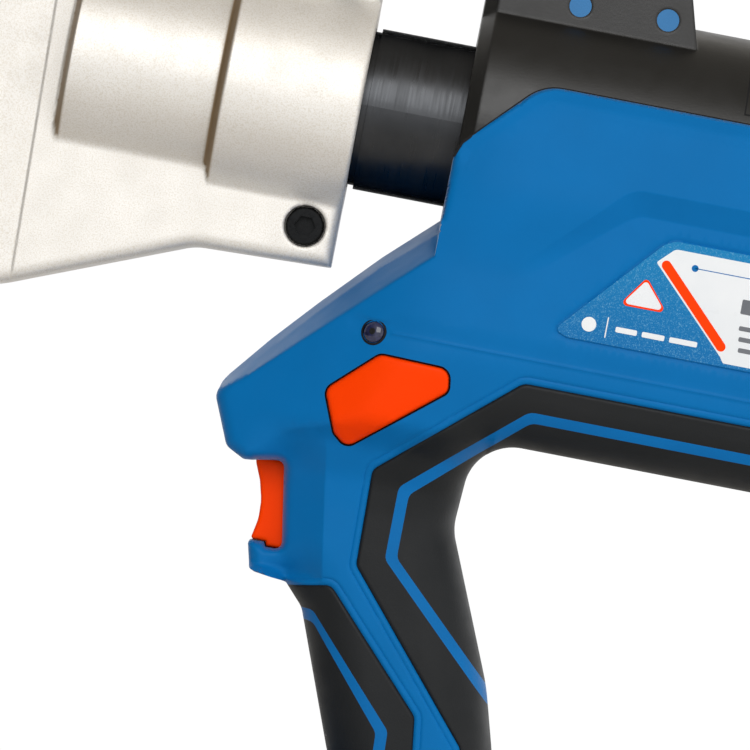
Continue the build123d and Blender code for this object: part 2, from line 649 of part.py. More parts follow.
LABEL = (
    (-58.2, -48.3), (-61.9, -49.6), (-157, -49.6), (-160, -46.6), (-160, -23.1), (-157, -20.1),
    (-84.9, -20.1), (-82.1, -21.5),
)
RELEASE = ((-15.4, -63.1), (-34.3, -63.9), (-34.3, -69.6), (-11.9, -88.3), (-7.6, -85.8), (-3.2, -74.5))


def body_solid(inset):
    """The body and handle as one closed form, with its skin moved inwards by inset."""
    with BuildPart() as made:
        with BuildSketch(side()):
            Polygon(*BODY_OUTLINE, align=None)
            if inset:
                offset(amount=-inset, kind=Kind.INTERSECTION)
        extrude(amount=BODY_HALF - inset, both=True)
        with BuildSketch(across(-220)):
            Polygon(*FRONT_VIEW, *[(-y, v) for y, v in reversed(FRONT_VIEW)], align=None)
            if inset:
                offset(amount=-inset, kind=Kind.INTERSECTION)
        extrude(amount=260, mode=Mode.INTERSECT)
        for sign in (-1, 1):
            with BuildSketch(side(sign * (LABEL_HALF - inset + 10))):
                Polygon(*RECESS, align=None)
            extrude(amount=10, both=True, mode=Mode.SUBTRACT)
            with BuildSketch(level(-130)):
                Polygon((HOUSING_FRONT_U, sign * (LABEL_HALF - inset)), (26, sign * (NOSE_HALF - inset)),
                        (26, sign * 60), (HOUSING_FRONT_U, sign * 60), align=None)
            extrude(amount=130, mode=Mode.SUBTRACT)
    return made.part


outer_skin = body_solid(0)
rubber_floor = body_solid(RUBBER)
inner_skin = body_solid(SHELL_WALL)
button_skin = body_solid(-1)


def overmould(region):
    """Rubber that fills the skin's outer layer inside a region of the side view."""
    with BuildPart() as made:
        add(outer_skin)
        add(rubber_floor, mode=Mode.SUBTRACT)
        with BuildSketch(side()):
            Polygon(*region, align=None)
        extrude(amount=60, both=True, mode=Mode.INTERSECT)
    return made.part


rear_rubber = overmould(REAR_RUBBER)
front_rubber = overmould(FRONT_RUBBER)

FOOT = (
    (-78, FOOT_BOTTOM_V), (-78, -196), (-76, -190), (-70.5, -184), (-28, -183), (6, -187), (42, -192),
    (48, -197), (48, FOOT_BOTTOM_V),
)
with BuildPart() as housing:
    add(outer_skin)
    add(inner_skin, mode=Mode.SUBTRACT)
    # screw bosses
    for u, v, half in HOUSING_SCREWS:
        with BuildSketch(side()):
            with Locations((u, v)):
                Circle(3.8)
        extrude(amount=half - 1, both=True)
    # web behind the release button
    with BuildSketch(side(9.5)):
        Polygon((-38, -62), (8, -62), (22, -80), (18, -94), (-38, -94), align=None)
    extrude(amount=2.3)
    # foot over the battery
    with BuildSketch(side()):
        Polygon(*FOOT, align=None)
    extrude(amount=BATTERY_HALF, both=True)
    with BuildSketch(side()):
        Polygon((-62, -170), (-34, -170), (-30, -190), (-64, -190), align=None)
    extrude(amount=11, both=True, mode=Mode.SUBTRACT)
    with BuildSketch(level(-197)):
        with Locations((-46, 0)):
            Rectangle(40, 40)
    extrude(amount=9, mode=Mode.SUBTRACT)
    # channel of the battery's tongue, open to the front
    for half, low, high in ((TONGUE_HALF + FREE, LIP_V - FREE, TONGUE_TOP_V + FREE),
                            (TONGUE_HALF - 4 + FREE, FOOT_BOTTOM_V - 1, LIP_V)):
        with BuildSketch(level(low, BATTERY_BACK_U + 3.5)):
            with Locations((60, 0)):
                Rectangle(120, 2 * half)
        extrude(amount=high - low, mode=Mode.SUBTRACT)
    # room for the barrel and the sleeve
    with BuildSketch(across(-200)):
        Circle(BARREL_R + SHELL_GAP)
    extrude(amount=200 + BARREL_NOTCH_U + 0.1, mode=Mode.SUBTRACT)
    with BuildSketch(across(BARREL_NOTCH_U)):
        with Locations((0, BARREL_NOTCH_V - 0.1 + 30)):
            Rectangle(90, 60)
    extrude(amount=10, mode=Mode.SUBTRACT)
    with BuildSketch(across(-32)):
        Circle(SLEEVE_R + 0.6)
    extrude(amount=12, mode=Mode.SUBTRACT)
    # trigger slot, release button opening, indicator and work light holes
    with BuildSketch(side()):
        Polygon((-24, -94.8), (14, -94.8), (14, -117.6), (5.4, -117.6), (5, -118.5), (-24, -118.5),
                align=None)
    extrude(amount=TRIGGER_HALF + FREE, both=True, mode=Mode.SUBTRACT)
    with BuildSketch(side(60)):
        Polygon(*RELEASE, align=None)
        offset(amount=0.35, kind=Kind.INTERSECTION)
    extrude(amount=49, mode=Mode.SUBTRACT)
    with BuildSketch(side(60)):
        with Locations(LED):
            Circle(2.9)
    extrude(amount=38, mode=Mode.SUBTRACT)
    with BuildSketch(across(15, WORK_LIGHT_V)):
        Circle(WORK_LIGHT_R + RUNNING)
    extrude(amount=20, mode=Mode.SUBTRACT)
    # screws come in from the right
    for u, v, half in HOUSING_SCREWS:
        with BuildSketch(side(6)):
            with Locations((u, v)):
                Circle(1.5)
        extrude(amount=6 + half - 5, mode=Mode.SUBTRACT)
        with BuildSketch(side(5 - half)):
            with Locations((u, v)):
                Circle(3)
        extrude(amount=12, mode=Mode.SUBTRACT)
    add(rear_rubber, mode=Mode.SUBTRACT)
    add(front_rubber, mode=Mode.SUBTRACT)


def half_of(part, keep):
    """The left half (Keep.BOTTOM) or the right half (Keep.TOP) of a part."""
    with BuildPart() as made:
        add(part)
        split(bisect_by=Plane.XZ, keep=keep)
    return made.part


for tag, keep in (("left", Keep.BOTTOM), ("right", Keep.TOP)):
    save(half_of(housing.part, keep), f"housing_{tag}")
save(rear_rubber, "grip_rubber_rear")
save(front_rubber, "grip_rubber_front")

# ---------------------------------------------------------------- body: controls
with BuildPart() as release_button:
    with BuildSketch(side(60)):
        Polygon(*RELEASE, align=None)
    extrude(amount=60 - 17)
    add(button_skin, mode=Mode.INTERSECT)
    with BuildSketch(side(22)):
        with Locations(RELEASE_SPRING):
            Circle(5)
    extrude(amount=10, mode=Mode.SUBTRACT)
save(release_button.part, "release_button")
spring_seat = Plane(origin=(DATUM_X + RELEASE_SPRING[0], 10.1, AXIS_Z + RELEASE_SPRING[1]), z_dir=(0, 1, 0))
save(spring(spring_seat, 3.6, 1.0, 11.3, 5), "release_spring")

with BuildPart() as trigger:
    with BuildSketch(side()):
        Polygon((11.6, -95.1), (11.5, -97), (9.4, -101.5), (8.1, -106.2), (7.9, -111.5), (8.7, -116.4),
                (7.5, -117.2), (5, -117.2), (4.6, -118.2), (-9, -118.2), (-9, -95.1), align=None)
    extrude(amount=TRIGGER_HALF, both=True)
    front_rims = [
        e for e in trigger.edges()
        if abs(abs(e.center().Y) - TRIGGER_HALF) < 0.01 and e.center().X - DATUM_X > 7
    ]
    chamfer(front_rims, length=1)
    with BuildSketch(across(-9, -107)):
        Circle(4.2)
    extrude(amount=4, mode=Mode.SUBTRACT)
save(trigger.part, "trigger")
save(spring(across(-15.9, -107), 3.2, 1.0, 9.9, 6), "trigger_spring")

with BuildPart() as trigger_switch:
    with BuildSketch(side()):
        Polygon((-38, -99), (-16.5, -99), (-16.5, -122), (-38, -122), align=None)
    extrude(amount=9, both=True)
    chamfer(trigger_switch.edges().filter_by(Axis.Y), length=1)
save(trigger_switch.part, "trigger_switch")

with BuildPart() as indicator_led:
    with BuildSketch(side(31.4)):
        with Locations(LED):
            Circle(2.85)
    extrude(amount=9)
    fillet(indicator_led.faces().sort_by(Axis.Y)[-1].edges(), radius=1.6)
save(indicator_led.part, "indicator_led")

with BuildPart() as work_light:
    with BuildSketch(across(15.5, WORK_LIGHT_V)):
        Circle(WORK_LIGHT_R)
    extrude(amount=5.3)
    fillet(work_light.faces().sort_by(Axis.X)[-1].edges(), radius=0.8)
save(work_light.part, "work_light")

with BuildPart() as control_board:
    with BuildSketch(level(-50)):
        with Locations((-112, 0)):
            Rectangle(76, 46)
    extrude(amount=1.6)
    with BuildSketch(level(-50)):
        with Locations((-96, 12), (-108, 12), (-120, 12)):
            Circle(4)
    extrude(amount=-11)
    with BuildSketch(level(-50)):
        with Locations((-128, -10)):
            Rectangle(30, 14)
    extrude(amount=-8)
save(control_board.part, "control_board")

with BuildPart() as side_labels:
    for start in (LABEL_HALF + LABEL_THICK, -LABEL_HALF):
        with BuildSketch(side(start)):
            Polygon(*LABEL, align=None)
        extrude(amount=LABEL_THICK)
save(side_labels.part, "side_labels")

with BuildPart() as housing_screws:
    for u, v, half in HOUSING_SCREWS:
        with BuildSketch(side(4)):
            with Locations((u, v)):
                Circle(1.45)
        extrude(amount=4 + half - 5)
        with BuildSketch(side(5 - half)):
            with Locations((u, v)):
                Circle(2.8)
        extrude(amount=2.4)
        with BuildSketch(side(7.4 - half - 4)):
            with Locations((u, v)):
                RegularPolygon(1.2, 6)
        extrude(amount=1.4, mode=Mode.SUBTRACT)
save(housing_screws.part, "housing_screws")

with BuildPart() as terminal_block:
    with BuildSketch(level(-196.9)):
        with Locations((-46, 0)):
            Rectangle(38, 38)
    extrude(amount=7)
save(terminal_block.part, "terminal_block")

# ---------------------------------------------------------------- battery
BATTERY_TOP_V, BATTERY_SPLIT_V = FOOT_BOTTOM_V - 0.2, -234.0
BATTERY_OUTLINE = (
    (BATTERY_BACK_U, -AXIS_Z + 4), (BATTERY_BACK_U, BATTERY_TOP_V), (BATTERY_FRONT_U - 8, BATTERY_TOP_V),
    (BATTERY_FRONT_U, BATTERY_TOP_V - 8), (BATTERY_FRONT_U, -AXIS_Z + 4), (BATTERY_FRONT_U - 4, -AXIS_Z),
    (BATTERY_BACK_U + 4, -AXIS_Z),
)
LATCH_U, LATCH_V = 22.0, -220.0


def battery_shell():
    """The battery's case as one hollow form with its tongue."""
    with BuildPart() as made:
        with BuildSketch(side()):
            Polygon(*BATTERY_OUTLINE, align=None)
        extrude(amount=BATTERY_HALF, both=True)
        fillet(made.edges().filter_by(Axis.Z), radius=5)
        with BuildSketch(level(-AXIS_Z + 3, (BATTERY_BACK_U + BATTERY_FRONT_U) / 2)):
            Rectangle(BATTERY_FRONT_U - BATTERY_BACK_U - 6, 2 * BATTERY_HALF - 6)
        extrude(amount=AXIS_Z - 3 + BATTERY_TOP_V - 8, mode=Mode.SUBTRACT)
        for half, low, high in ((TONGUE_HALF - 4, BATTERY_TOP_V, LIP_V),
                                (TONGUE_HALF, LIP_V, TONGUE_TOP_V)):
            with BuildSketch(level(low, BATTERY_BACK_U + 4)):
                with Locations((52, 0)):
                    Rectangle(104, 2 * half)
            extrude(amount=high - low)
        with BuildSketch(level(TONGUE_TOP_V - 3)):
            with Locations((-46, -14), (-46, 0), (-46, 14)):
                Rectangle(26, 3)
        extrude(amount=3, mode=Mode.SUBTRACT)
        for sign in (-1, 1):
            with BuildSketch(side(sign * BATTERY_HALF)):
                with Locations((LATCH_U, LATCH_V)):
                    RectangleRounded(18.6, 10.6, 3.3)
            extrude(amount=5, both=True, mode=Mode.SUBTRACT)
    return made.part


battery_form = battery_shell()
for name, low, high in (
    ("battery_case_lower", -AXIS_Z - 1, BATTERY_SPLIT_V),
    ("battery_case_upper", BATTERY_SPLIT_V, -190),
):
    with BuildPart() as case:
        add(battery_form)
        with BuildSketch(level(low)):
            Rectangle(400, 200)
        extrude(amount=high - low, mode=Mode.INTERSECT)
    save(case.part, name)

with BuildPart() as battery_cells:
    with BuildSketch(side()):
        with Locations(((BATTERY_BACK_U + BATTERY_FRONT_U) / 2, -237.5)):
            with GridLocations(19.8, 19.8, 5, 2):
                Circle(9.2)
    extrude(amount=32.5, both=True)
save(battery_cells.part, "battery_cells")

with BuildPart() as battery_contacts:
    with BuildSketch(level(TONGUE_TOP_V - 3)):
        with Locations((-46, -14), (-46, 0), (-46, 14)):
            Rectangle(26, 3)
    extrude(amount=2.5)
save(battery_contacts.part, "battery_contacts")

for tag, sign in (("left", 1), ("right", -1)):
    with BuildPart() as latch:
        with BuildSketch(side(sign * (BATTERY_HALF - 0.6))):
            with Locations((LATCH_U, LATCH_V)):
                RectangleRounded(18, 10, 3)
        extrude(amount=1.8, both=True)
        chamfer(latch.faces().sort_by(Axis.Y)[-1 if sign > 0 else 0].edges(), length=0.8)
    save(latch.part, f"battery_latch_{tag}")
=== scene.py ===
import json
import math

import bpy
import numpy as np
from mathutils import Matrix, Vector
from mathutils.geometry import delaunay_2d_cdt


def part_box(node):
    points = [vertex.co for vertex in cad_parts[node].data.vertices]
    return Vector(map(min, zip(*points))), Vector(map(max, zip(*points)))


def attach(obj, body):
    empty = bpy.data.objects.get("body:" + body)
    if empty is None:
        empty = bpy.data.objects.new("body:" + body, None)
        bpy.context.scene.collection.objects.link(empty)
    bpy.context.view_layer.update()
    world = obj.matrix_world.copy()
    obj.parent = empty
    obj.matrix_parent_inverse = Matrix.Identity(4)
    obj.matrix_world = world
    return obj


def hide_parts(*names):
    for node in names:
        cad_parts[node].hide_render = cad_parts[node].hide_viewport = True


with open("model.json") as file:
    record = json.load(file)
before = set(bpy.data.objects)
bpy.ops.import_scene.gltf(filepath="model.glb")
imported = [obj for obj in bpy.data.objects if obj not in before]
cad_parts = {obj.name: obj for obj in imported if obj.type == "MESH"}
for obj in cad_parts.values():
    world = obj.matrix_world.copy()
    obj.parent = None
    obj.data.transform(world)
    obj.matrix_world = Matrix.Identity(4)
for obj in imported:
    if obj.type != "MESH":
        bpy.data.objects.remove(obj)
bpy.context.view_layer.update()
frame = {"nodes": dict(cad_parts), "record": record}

NODES = frame["nodes"]

# A cordless hydraulic crimping tool. Most CAD pieces keep their shapes and get materials. The housing, grips,
# head, trigger, release button, indicator and label are replaced by skins, whose height across the tool is a
# function of the place in the side view.
#
# Side-view places are (u, v) in millimetres: u forward from the head swivel, v up from the ram axis.
swivel = next(j for j in frame["record"]["behaviour"]["joints"] if j["name"] == "head_swivel")
DATUM_X, _, AXIS_Z = [1000 * value for value in swivel["pos_m"]]
BARREL_R = 500 * (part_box("rear_cap")[1][1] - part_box("rear_cap")[0][1])
BODY_HALF = 1000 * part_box("housing_left")[1][1]
LABEL_FACE = 1000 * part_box("side_labels")[1][1] - 0.4
TRIGGER_HALF = 1000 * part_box("trigger")[1][1]
HEAD_FRONT = 1000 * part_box("head_frame")[1][0] - DATUM_X
FOOT_V = 1000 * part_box("housing_left")[0][2] - AXIS_Z
SHARP_ANGLE = math.radians(52)


def place(u, y, v):
    """A point of the object in metres."""
    return ((DATUM_X + u) / 1000, y / 1000, (AXIS_Z + v) / 1000)


# ---- plane geometry
def rounded(corners, closed=True, step=1.0):
    """A polyline through corners (u, v, radius), with an arc at each corner that has a radius."""
    count = len(corners)
    line = []
    for i, (u, v, radius) in enumerate(corners):
        here = np.array((u, v), float)
        if radius == 0 or (not closed and i in (0, count - 1)):
            line.append(here)
            continue
        before = np.array(corners[i - 1][:2], float) - here
        after = np.array(corners[(i + 1) % count][:2], float) - here
        room = 0.49 * min(np.linalg.norm(before), np.linalg.norm(after))
        before, after = before / np.linalg.norm(before), after / np.linalg.norm(after)
        if np.linalg.norm(before + after) < 1e-3:
            line.append(here)
            continue
        half = math.acos(max(-1, min(1, before @ after))) / 2
        reach = min(radius / math.tan(half), room)
        bend = reach * math.tan(half)
        middle = here + (before + after) / np.linalg.norm(before + after) * bend / math.sin(half)
        start, end = here + before * reach - middle, here + after * reach - middle
        sweep = math.pi - 2 * half
        steps = max(2, math.ceil(bend * sweep / step))
        for k in range(steps + 1):
            a = k / steps
            point = start * math.sin((1 - a) * sweep) + end * math.sin(a * sweep)
            line.append(middle + point / math.sin(sweep))
    return np.array(line)


def filled(line, closed, step):
    """The polyline with points added so that no run is longer than step."""
    ends = np.vstack([line, line[:1]]) if closed else line
    out = []
    for a, b in zip(ends[:-1], ends[1:]):
        n = max(1, math.ceil(np.linalg.norm(b - a) / step))
        out += [a + (b - a) * k / n for k in range(n)]
    if not closed:
        out.append(ends[-1])
    return np.array(out)


def distance(points, line, closed=False):
    """The distance of each point from a polyline."""
    ends = np.vstack([line, line[:1]]) if closed else line
    best = np.full(len(points), 1e9)
    for a, b in zip(ends[:-1], ends[1:]):
        run = b - a
        long = run @ run
        if long < 1e-12:
            continue
        t = np.clip((points - a) @ run / long, 0, 1)[:, None]
        best = np.minimum(best, np.linalg.norm(points - (a + t * run), axis=1))
    return best


def inside(points, polygon):
    """True for each point inside a closed polygon."""
    odd = np.zeros(len(points), bool)
    x, y = points[:, 0], points[:, 1]
    for (x0, y0), (x1, y1) in zip(polygon, np.roll(polygon, -1, axis=0)):
        crosses = (y0 > y) != (y1 > y)
        if abs(y1 - y0) > 1e-12:
            odd ^= crosses & (x < (x1 - x0) * (y - y0) / (y1 - y0) + x0)
    return odd


def smooth(low, high, x):
    """A smooth step from 0 at low to 1 at high."""
    t = np.clip((x - low) / (high - low), 0, 1)
    return t * t * (3 - 2 * t)


def softmin(a, b, k):
    """The smaller of a and b with the crease between them rounded over about k."""
    h = np.clip(0.5 + 0.5 * (b - a) / k, 0, 1)
    return b + (a - b) * h - k * h * (1 - h)


def softmax(a, b, k):
    """The larger of a and b with the same rounding."""
    return -softmin(-a, -b, k)


def bulge(d, radius, power=2.0):
    """Height from 0 at an edge to 1 at radius inside it, as a quarter of a superellipse."""
    t = np.clip(d / radius, 0, 1)
    return (1 - (1 - t) ** power) ** (1 / power)


def offset_points(line, closed, offsets, step):
    """Points beside a polyline at each offset, to either side, at even steps."""
    dense = filled(line, closed, step)
    ahead = np.roll(dense, -1, axis=0) - np.roll(dense, 1, axis=0)
    if not closed:
        ahead[0], ahead[-1] = dense[1] - dense[0], dense[-1] - dense[-2]
    across = np.stack([-ahead[:, 1], ahead[:, 0]], axis=1)
    across /= np.maximum(np.linalg.norm(across, axis=1, keepdims=True), 1e-9)
    kept = [np.zeros((0, 2))]
    for gap in offsets:
        for sign in (-1, 1):
            moved = dense + sign * gap * across
            kept.append(moved[distance(moved, line, closed) > 0.93 * gap])
    return np.vstack(kept)


# ---- meshes from side-view heights
# Offsets from outlines and inner lines at which a mesh has rows of points, and how close its points may be.
EDGE_RINGS = (0.12, 0.4, 0.9, 1.6, 2.3, 3.0, 3.7, 4.6, 6.0, 9.0, 13.0)
LINE_RINGS = (0.3, 0.65, 1.1)
CLOSEST = 0.16


class Relief:
    """A triangulated region of the side view, whose height across the tool is a function of (u, v)."""

    def __init__(self, outline, height, lines=(), grid=2.0, rings=EDGE_RINGS, edge_step=0.9,
                 line_rings=LINE_RINGS):
        """lines are (polyline, closed) that the triangles follow. rings are rows of points beside an edge."""
        self.outline = filled(outline, True, edge_step)
        points, edges = [], []

        def add_line(line, closed):
            start = len(points)
            points.extend(map(tuple, line))
            last = len(line) if closed else len(line) - 1
            edges.extend((start + i, start + (i + 1) % len(line)) for i in range(last))

        add_line(self.outline, True)
        loose = [offset_points(outline, True, rings, edge_step * 1.3)]
        for line, closed in lines:
            add_line(filled(line, closed, edge_step), closed)
            loose.append(offset_points(line, closed, line_rings, edge_step))
        loose.append(self.grid_points(grid))
        points.extend(self.spaced(np.vstack(loose)))
        made = delaunay_2d_cdt([Vector(p) for p in points], edges, [], 0, 1e-4, False)
        self.points = np.array([tuple(p) for p in made[0]])
        faces = np.array([f for f in made[2] if len(f) == 3])
        centres = self.points[faces].mean(1)
        keep = inside(centres, self.outline)
        self.faces, self.centres = faces[keep], centres[keep]
        self.heights = {side: height(self.points, side) for side in (1, -1)}
        turn = np.cross(self.points[self.faces[:, 1]] - self.points[self.faces[:, 0]],
                        self.points[self.faces[:, 2]] - self.points[self.faces[:, 0]])
        self.faces[turn < 0] = self.faces[turn < 0][:, ::-1]

    def grid_points(self, grid):
        """A triangular grid over the outline's box."""
        low, high = self.outline.min(0), self.outline.max(0)
        us, vs = np.arange(low[0], high[0], grid), np.arange(low[1], high[1], grid * 0.87)
        mesh_u, mesh_v = np.meshgrid(us, vs)
        mesh_u[1::2] += grid / 2
        return np.stack([mesh_u.ravel(), mesh_v.ravel()], axis=1)

    def spaced(self, loose):
        """The points inside the outline, without those that nearly repeat an earlier one."""
        loose = loose[inside(loose, self.outline)]
        loose = loose[distance(loose, self.outline, True) > CLOSEST / 2]
        taken, kept = set(), []
        for u, v in loose:
            key = (round(u / CLOSEST), round(v / CLOSEST))
            if key not in taken:
                taken.add(key)
                kept.append((u, v))
        return kept

    def surface(self, name, material, chosen=None, sides=(1, -1), drop=None, smooth_faces=True):
        """A piece from the chosen triangles on each side. drop closes the piece's rim down to that height."""
        faces = self.faces if chosen is None else self.faces[chosen]
        used, back = np.unique(faces, return_inverse=True)
        back = back.reshape(faces.shape)
        verts, polys = [], []
        for sign in sides:
            start = len(verts)
            tall = self.heights[sign][used]
            verts += [place(u, sign * h, v) for (u, v), h in zip(self.points[used], tall)]
            order = back[:, ::-1] if sign > 0 else back
            polys += [tuple(start + int(i) for i in face) for face in order]
        if drop is not None:
            self.close_rim(verts, polys, faces, sides, drop)
        return make_mesh(name, verts, polys, material, smooth_faces)

    def close_rim(self, verts, polys, faces, sides, drop):
        """Adds walls from the rim of the chosen triangles, to the other side or down to a height."""
        edges = dict.fromkeys(pair for a, b, c in faces for pair in ((a, b), (b, c), (c, a)))
        rim = np.array([pair for pair in edges if (pair[1], pair[0]) not in edges])
        floors = drop(self.points[rim.ravel()]).reshape(rim.shape)
        for (a, b), (low_a, low_b) in zip(rim, floors):
            (ua, va), (ub, vb) = self.points[a], self.points[b]
            for sign in sides:
                ha, hb = self.heights[sign][a], self.heights[sign][b]
                if ha - low_a < 0.02 and hb - low_b < 0.02:
                    continue
                start = len(verts)
                verts += [place(ua, sign * ha, va), place(ub, sign * hb, vb),
                          place(ub, sign * low_b, vb), place(ua, sign * low_a, va)]
                quad = (start, start + 1, start + 2, start + 3)
                polys.append(quad if sign > 0 else quad[::-1])


def level(value):
    """A height or a drop that is the same everywhere."""
    return lambda points, side=1: np.full(len(points), float(value))


def make_mesh(name, verts, polys, material, smooth_faces=True):
    """A mesh object with one material, linked into the scene."""
    mesh = bpy.data.meshes.new(name)
    mesh.from_pydata(verts, [], polys)
    mesh.validate()
    mesh.update()
    mesh.materials.append(material)
    if smooth_faces:
        mesh.shade_smooth()
        mesh.set_sharp_from_angle(angle=SHARP_ANGLE)
    else:
        mesh.shade_flat()
    piece = bpy.data.objects.new(name, mesh)
    bpy.context.collection.objects.link(piece)
    return piece


def fit(piece, body="tool", node=None, slot=None):
    """Puts a piece on a body, in place of a CAD node where it has one. slot is not used."""
    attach(piece, body)
    if node:
        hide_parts(node)


def lathe(name, profile, centre, direction, material, steps=48):
    """A turned piece. The profile is (radius, height) in millimetres along the direction from the centre."""
    axis = Vector(direction).normalized()
    across = axis.orthogonal().normalized()
    third = axis.cross(across)
    verts, polys = [], []
    for radius, height in profile:
        for k in range(steps):
            a = 2 * math.pi * k / steps
            spoke = across * math.cos(a) + third * math.sin(a)
            verts.append(Vector(centre) + (axis * height + spoke * radius) / 1000)
    for i in range(len(profile) - 1):
        for k in range(steps):
            a, b = i * steps + k, i * steps + (k + 1) % steps
            polys.append((a, b, b + steps, a + steps))
    polys.append(tuple(range(steps))[::-1])
    polys.append(tuple(range((len(profile) - 1) * steps, len(profile) * steps)))
    return make_mesh(name, verts, polys, material)


# ---- materials
class Graph:
    """The nodes of a material or a world. Its methods add a node and give an output of it."""

    def __init__(self, tree, coordinates="Object"):
        self.nodes, self.links = tree.nodes, tree.links
        self.where = self.nodes.new("ShaderNodeTexCoord").outputs[coordinates]

    def feed(self, made, inputs):
        """Sets a node's inputs, by name or number, each to a socket or a plain value."""
        for key, value in inputs.items():
            if isinstance(value, bpy.types.NodeSocket):
                self.links.new(value, made.inputs[key])
            else:
                made.inputs[key].default_value = value

    def add(self, kind, inputs, output, **settings):
        """A node of a kind, with its inputs fed and its settings made."""
        made = self.nodes.new("ShaderNode" + kind)
        for name, value in settings.items():
            setattr(made, name, value)
        self.feed(made, inputs)
        return made.outputs[output]

    def noise(self, scale, detail=2, stretch=(1, 1, 1)):
        """The value of a noise texture, stretched along the object's axes."""
        where = self.add("Mapping", {"Vector": self.where, "Scale": stretch}, "Vector")
        return self.add("TexNoise", {"Vector": where, "Scale": scale, "Detail": detail}, "Fac")

    def remap(self, value, low, high, out_low, out_high, **settings):
        """The value mapped from one range to another and kept inside it."""
        return self.add("MapRange", {"Value": value, "From Min": low, "From Max": high, "To Min": out_low,
                                     "To Max": out_high}, "Result", **settings)

    def mix(self, factor, first, second):
        """A blend of two colours, each a socket or a plain colour."""
        ends = [end if isinstance(end, bpy.types.NodeSocket) else (*end, 1) for end in (first, second)]
        return self.add("Mix", {"Factor": factor, "A": ends[0], "B": ends[1]}, "Result", data_type="RGBA")

    def times(self, first, second):
        """The product of two values."""
        return self.add("Math", {0: first, 1: second}, "Value", operation="MULTIPLY")

    def bump(self, height, strength, depth, normal=None):
        """The normal of a surface raised by height, over another normal where there is one."""
        inputs = {"Height": height, "Strength": strength, "Distance": depth}
        if normal is not None:
            inputs["Normal"] = normal
        return self.add("Bump", inputs, "Normal")

    def toward(self, way, low, high, out_low, out_high):
        """A value that grows from out_low to out_high as the direction turns towards way."""
        along = self.add("VectorMath", {0: self.where, 1: way}, "Value", operation="DOT_PRODUCT")
        return self.remap(along, low, high, out_low, out_high, interpolation_type="SMOOTHSTEP")


def new_material(name):
    """A node material and its graph."""
    made = bpy.data.materials.new(name)
    made.use_nodes = True
    return made, Graph(made.node_tree)


def finished(made, graph, inputs):
    """The material once its shader has its inputs."""
    graph.feed(graph.nodes["Principled BSDF"], inputs)
    return made


def moulded(name, colour, shade, roughness, grain=2600, depth=0.00003, gloss=0.25, soft=0, sheen=0):
    """Moulded plastic or rubber: a fine grain, faint clouding and slightly uneven roughness.

    soft is the radius of the rounding on its edges, in metres."""
    made, graph = new_material(name)
    tint = graph.remap(graph.noise(45, 3), 0.35, 0.65, 0, 1)
    rough = graph.remap(graph.noise(160, 3), 0.3, 0.7, roughness - 0.04, roughness + 0.05)
    edges = graph.add("Bevel", {"Radius": soft}, "Normal", samples=6) if soft else None
    velvet = {"Sheen Weight": sheen, "Sheen Roughness": 0.3} if sheen else {}
    return finished(made, graph, {
        "Base Color": graph.mix(tint, colour, shade), "Roughness": rough, "Specular IOR Level": gloss,
        "Normal": graph.bump(graph.noise(grain), 0.5, depth, edges), **velvet})


def cast_metal(name):
    """Sand-textured nickel plate, a little uneven, darkened brown by painted shade from a mesh attribute."""
    made, graph = new_material(name)
    cloud = graph.remap(graph.noise(28, 5), 0.35, 0.68, 0, 1)
    plate = graph.mix(cloud, (0.85, 0.832, 0.80), (0.79, 0.768, 0.73))
    grit = graph.remap(graph.noise(2600, 3), 0.34, 0.56, 0, 1)
    # painted shade: a mesh attribute that darkens the plating brown, strongly on the bosses' front walls and
    # faintly on their lower sides
    painted_shade = graph.add("Attribute", {}, "Fac", attribute_name="painted_shade")
    coarse = graph.bump(graph.noise(260, 4), 0.3, 0.00015)
    return finished(made, graph, {
        "Metallic": 0.55, "Roughness": graph.remap(graph.noise(120, 4), 0.3, 0.7, 0.48, 0.60),
        "Base Color": graph.mix(painted_shade, graph.mix(grit, (0.72, 0.68, 0.61), plate), (0.22, 0.15, 0.08)),
        "Normal": graph.bump(graph.noise(2200, 3), 0.4, 0.00005, coarse)})


def turned_metal(name, colour, shade, roughness, stretch=(1, 1, 1), scale=900, rim=1):
    """Machined metal with fine tool marks along one direction and faint wear.

    rim is how bright it is at a grazing angle."""
    made, graph = new_material(name)
    marks = graph.noise(scale, 4, stretch)
    patch = graph.remap(graph.noise(60, 4), 0.4, 0.7, 0, 1)
    return finished(made, graph, {
        "Metallic": 1.0, "Specular Tint": (rim, rim, rim, 1), "Base Color": graph.mix(patch, colour, shade),
        "Roughness": graph.remap(marks, 0.3, 0.7, roughness - 0.07, roughness + 0.1),
        "Normal": graph.bump(marks, 0.3, 0.00003)})


def sparkle_film(name, top_v):
    """Metallic label film with bright flecks and a shade that deepens downwards from top_v."""
    made, graph = new_material(name)
    flecks = graph.add("TexVoronoi", {"Vector": graph.where, "Scale": 5200}, "Color")
    bright = graph.remap(flecks, 0.62, 0.9, 0, 1)
    spread = graph.remap(graph.noise(2000, 3), 0.4, 0.62, 0.15, 0.8)
    top = (AXIS_Z + top_v) / 1000
    height = graph.add("SeparateXYZ", {"Vector": graph.where}, "Z")
    fade = graph.remap(height, top - 0.027, top, 0, 1)
    base = graph.mix(fade, (0.001, 0.145, 0.40), (0.003, 0.20, 0.46))
    return finished(made, graph, {
        "Base Color": graph.mix(graph.times(bright, spread), base, (0.16, 0.42, 0.64)),
        "Specular IOR Level": 0.15, "Roughness": 0.3})


def lens_material(name):
    """Tinted clear dome with a dark, faintly mottled depth."""
    made, graph = new_material(name)
    depth = graph.remap(graph.noise(900), 0.3, 0.7, 0, 1)
    return finished(made, graph, {
        "Base Color": graph.mix(depth, (0.006, 0.008, 0.035), (0.02, 0.024, 0.08)),
        "Roughness": 0.06, "Coat Weight": 0.35, "Coat Roughness": 0.02})


def floor_material(name):
    """Matt, pale and faintly clouded."""
    made, graph = new_material(name)
    cloud = graph.remap(graph.noise(6), 0.3, 0.7, 0, 1)
    return finished(made, graph, {
        "Base Color": graph.mix(cloud, (0.83, 0.81, 0.78), (0.79, 0.77, 0.74)), "Roughness": 0.9})


